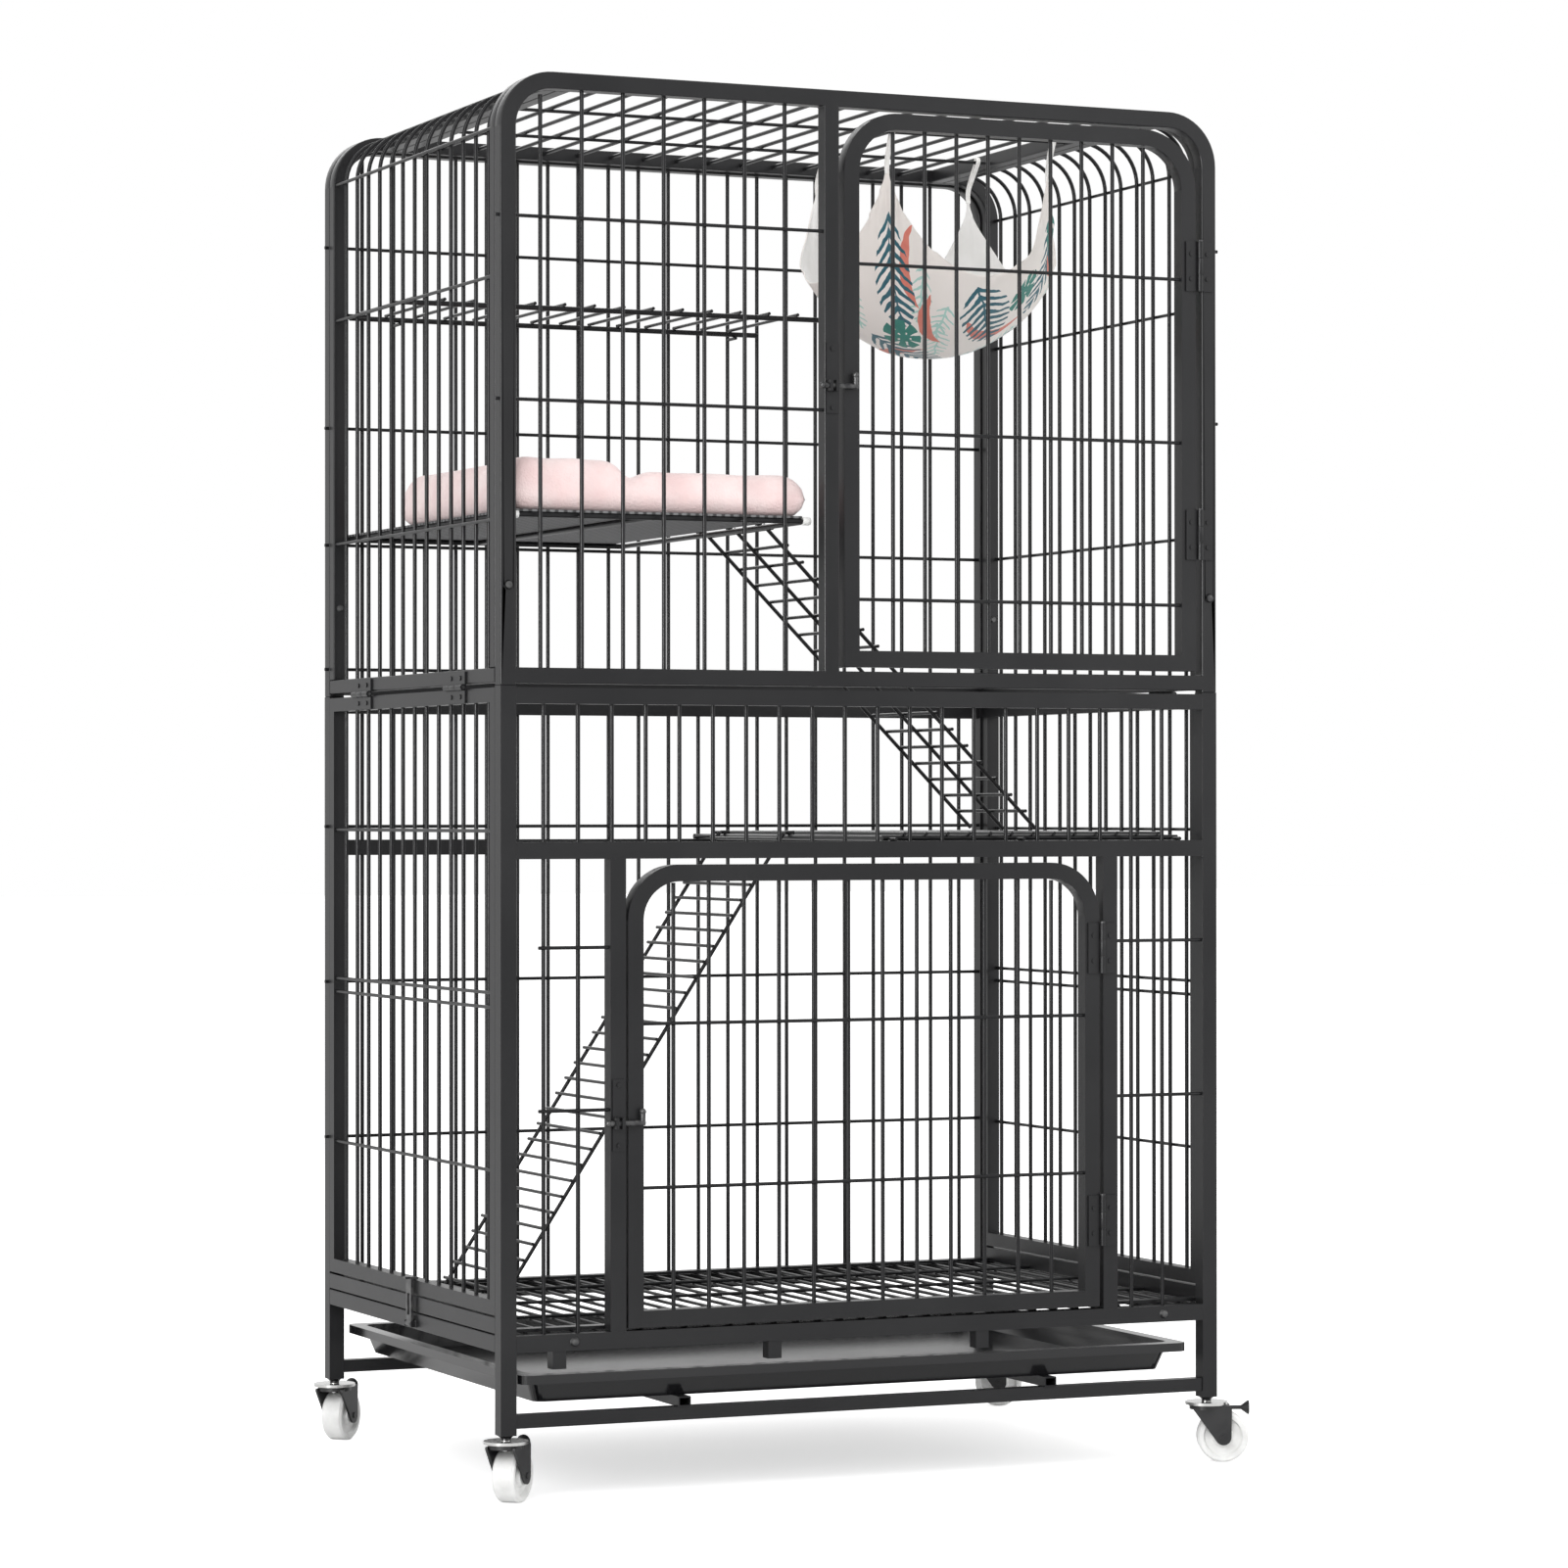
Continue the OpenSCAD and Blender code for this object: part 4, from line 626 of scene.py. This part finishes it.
for x, y, turn, size in SPRIGS:
    along, aside = laid_at(print_tree, drawn, x, y, turn)
    mask = frond(print_tree, along, aside, size / 1000, 0.012, 0.0085, 0.36)
    layer = painted(print_tree, layer, MINT, mask)
for x, y, turn, size in STROKES:
    along, aside = laid_at(print_tree, drawn, x, y, turn)
    mask = brush_stroke(print_tree, along, aside, size / 1000, 0.75, 0.0065)
    layer = painted(print_tree, layer, inks["coral"], mask)
for x, y, turn, size in FRONDS:
    along, aside = laid_at(print_tree, drawn, x, y, turn)
    mask = frond(print_tree, along, aside, size / 1000, 0.024, 0.0105, 0.62)
    layer = painted(print_tree, layer, inks["teal"], mask)
for x, y, turn, size in LEAVES:
    along, aside = laid_at(print_tree, drawn, x, y, turn)
    mask = split_leaf(print_tree, along, aside, size / 1000)
    layer = painted(print_tree, layer, inks["emerald"], mask)
print_tree.links.new(layer, print_shader.inputs["Base Color"])

weave_split = node_of(print_tree, "ShaderNodeSeparateXYZ")
print_tree.links.new(cut.outputs["Vector"], weave_split.inputs[0])
warp = step_of(print_tree, "SINE", step_of(print_tree, "MULTIPLY", weave_split.outputs[0], WEAVE_TURNS))
weft = step_of(print_tree, "SINE", step_of(print_tree, "MULTIPLY", weave_split.outputs[1], WEAVE_TURNS))
inner = step_of(print_tree, "MINIMUM",
                step_of(print_tree, "MINIMUM", weave_split.outputs[0], weave_split.outputs[1]),
                step_of(print_tree, "MINIMUM",
                        step_of(print_tree, "SUBTRACT", CLOTH_SIDE, weave_split.outputs[0]),
                        step_of(print_tree, "SUBTRACT", CLOTH_SIDE, weave_split.outputs[1])))
seam = step_of(print_tree, "LESS_THAN",
               step_of(print_tree, "ABSOLUTE", step_of(print_tree, "SUBTRACT", inner, HEM)), STITCH_HALF)
relief = step_of(print_tree, "SUBTRACT", step_of(print_tree, "MULTIPLY", warp, weft),
                 step_of(print_tree, "MULTIPLY", seam, 6.0))
print_bump = node_of(print_tree, "ShaderNodeBump", in_Strength=0.5, in_Distance=0.00012)
print_tree.links.new(relief, print_bump.inputs["Height"])
print_tree.links.new(print_bump.outputs["Normal"], print_shader.inputs["Normal"])
cloth_data.materials.append(print_cloth)

lining, lining_tree, lining_shader = finish_of("cloth_inside", (0.84, 0.83, 0.81), 0.95,
                                               Sheen_Weight=0.2)
lining_place = grain(lining_tree, lining_shader, 900.0, 0.5, 0.0004, 4.0)
mottle(lining_tree, lining_shader, lining_place, 30.0, (0.8, 0.79, 0.77), (0.86, 0.85, 0.84))
cloth_data.materials.append(lining)
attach(hammock_cloth, "frame")
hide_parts("hammock")


# Hammock straps: white polyester webbing, a loop from each corner of the cloth that goes
# round a wire of the roof.
STRAP_WIDE = 0.0042
STRAP_THICK = 0.0011
STRAP_TAIL = 0.012
STRAP_SHAPE = [(-0.5, -0.35), (-0.44, -0.5), (0.44, -0.5), (0.5, -0.35),
               (0.5, 0.35), (0.44, 0.5), (-0.44, 0.5), (-0.5, 0.35)]
webbing, webbing_tree, webbing_shader = finish_of("white_webbing", (0.88, 0.87, 0.85), 0.85)
webbing_place = grain(webbing_tree, webbing_shader, 1600.0, 0.6, 0.0004)
mottle(webbing_tree, webbing_shader, webbing_place, 220.0, (0.82, 0.81, 0.78), (0.92, 0.91, 0.9))


def ribbon(name, points, wide, thick, flat_side):
    """A strap along a smooth path, wide along flat_side and closed at both ends."""
    path = [Vector(point) for point in points]
    dense = []
    for index in range(len(path) - 1):
        before, start = path[max(index - 1, 0)], path[index]
        end, after = path[index + 1], path[min(index + 2, len(path) - 1)]
        for part in range(6):
            t = part / 6
            dense.append(0.5 * ((2 * start) + (end - before) * t
                                + (2 * before - 5 * start + 4 * end - after) * t * t
                                + (3 * start - before - 3 * end + after) * t ** 3))
    dense.append(path[-1])
    mesh = bmesh.new()
    rings = []
    for index, point in enumerate(dense):
        way = (dense[min(index + 1, len(dense) - 1)] - dense[max(index - 1, 0)]).normalized()
        side = Vector(flat_side)
        side = (side - way * side.dot(way)).normalized()
        up = way.cross(side)
        rings.append([mesh.verts.new(point + side * (a * wide) + up * (b * thick))
                      for a, b in STRAP_SHAPE])
    for one, other in zip(rings, rings[1:]):
        for k in range(8):
            mesh.faces.new((one[k], one[(k + 1) % 8], other[(k + 1) % 8], other[k]))
    mesh.faces.new(rings[0][::-1])
    mesh.faces.new(rings[-1])
    bmesh.ops.recalc_face_normals(mesh, faces=mesh.faces)
    return shaped(name, mesh)


strap_low, strap_high = (Vector(corner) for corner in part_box("hammock_straps"))
WIRE_HALF = 0.0016
strap_pieces = []
for (column, row), (x, y) in TIES.items():
    foot = CAGE_CORNER + Vector((x, y, TIE_HEIGHT))
    wire_y = (strap_low.y if row == 0 else strap_high.y - 0.021) + 0.0005
    top = Vector((foot.x, wire_y, strap_high.z + 0.0038))
    lean = (top - foot) * Vector((0, 1, 1))
    around = WIRE_HALF + STRAP_THICK
    points = [foot + Vector((0, 0.0006, -STRAP_TAIL)), foot + Vector((0, 0.0008, 0.0)),
              foot + lean * 0.5 + Vector((0, 0.0022, 0.0)), top + Vector((0, around, -0.002)),
              top + Vector((0, around * 0.7, around * 0.75)), top + Vector((0, 0, around)),
              top + Vector((0, -around * 0.7, around * 0.75)), top + Vector((0, -around, -0.002)),
              foot + lean * 0.5 + Vector((0, -0.0022, 0.0)), foot + Vector((0, -0.0008, 0.0)),
              foot + Vector((0, -0.0006, -STRAP_TAIL))]
    strap = ribbon("hammock_strap_%d" % len(strap_pieces), points, STRAP_WIDE, STRAP_THICK, (1, 0, 0))
    strap.data.materials.append(webbing)
    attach(strap, "frame")
    strap_pieces.append(strap)
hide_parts("hammock_straps")


# End caps: small caps over both ends of the cushion shelf's front rod, coloured white as a painted highlight
# for the light that the rod's bent ends catch.
CAP_PROFILE = [(0.0022, 0.0001), (0.0034, 0.0008), (0.0038, 0.002), (0.0038, 0.0075),
               (0.0034, 0.0082), (0.0026, 0.0083)]
CAP_SIDES = 24
# The caps' white is a painted highlight.
cap_painted_highlight, cap_tree, cap_shader = finish_of("cap_painted_highlight", (0.8, 0.8, 0.78), 0.45)
cap_place = grain(cap_tree, cap_shader, 500.0, 0.1)
mottle(cap_tree, cap_shader, cap_place, 120.0, (0.76, 0.76, 0.74), (0.84, 0.84, 0.83))
rod_low, rod_high = (Vector(corner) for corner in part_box("cushion_shelf_frame"))
for side, name in [(-1, "rod_cap_highlight_left"), (1, "rod_cap_highlight_right")]:
    middle = Vector((rod_low.x - 0.0004 if side < 0 else rod_high.x + 0.0004, CAGE_CORNER.y + 0.0181,
                     (rod_low.z + rod_high.z) / 2))
    mesh = bmesh.new()
    rings = []
    for radius, depth in CAP_PROFILE:
        turns = [k * math.tau / CAP_SIDES for k in range(CAP_SIDES)]
        rings.append([mesh.verts.new(middle + Vector((-side * depth, radius * math.cos(turn),
                                                      radius * math.sin(turn))))
                      for turn in turns])
    for one, other in zip(rings, rings[1:]):
        for k in range(CAP_SIDES):
            mesh.faces.new((one[k], one[(k + 1) % CAP_SIDES], other[(k + 1) % CAP_SIDES], other[k]))
    mesh.faces.new(rings[0])
    mesh.faces.new(rings[-1])
    bmesh.ops.recalc_face_normals(mesh, faces=mesh.faces)
    cap = shaped(name, mesh)
    cap.data.materials.append(cap_painted_highlight)
    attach(cap, "frame")
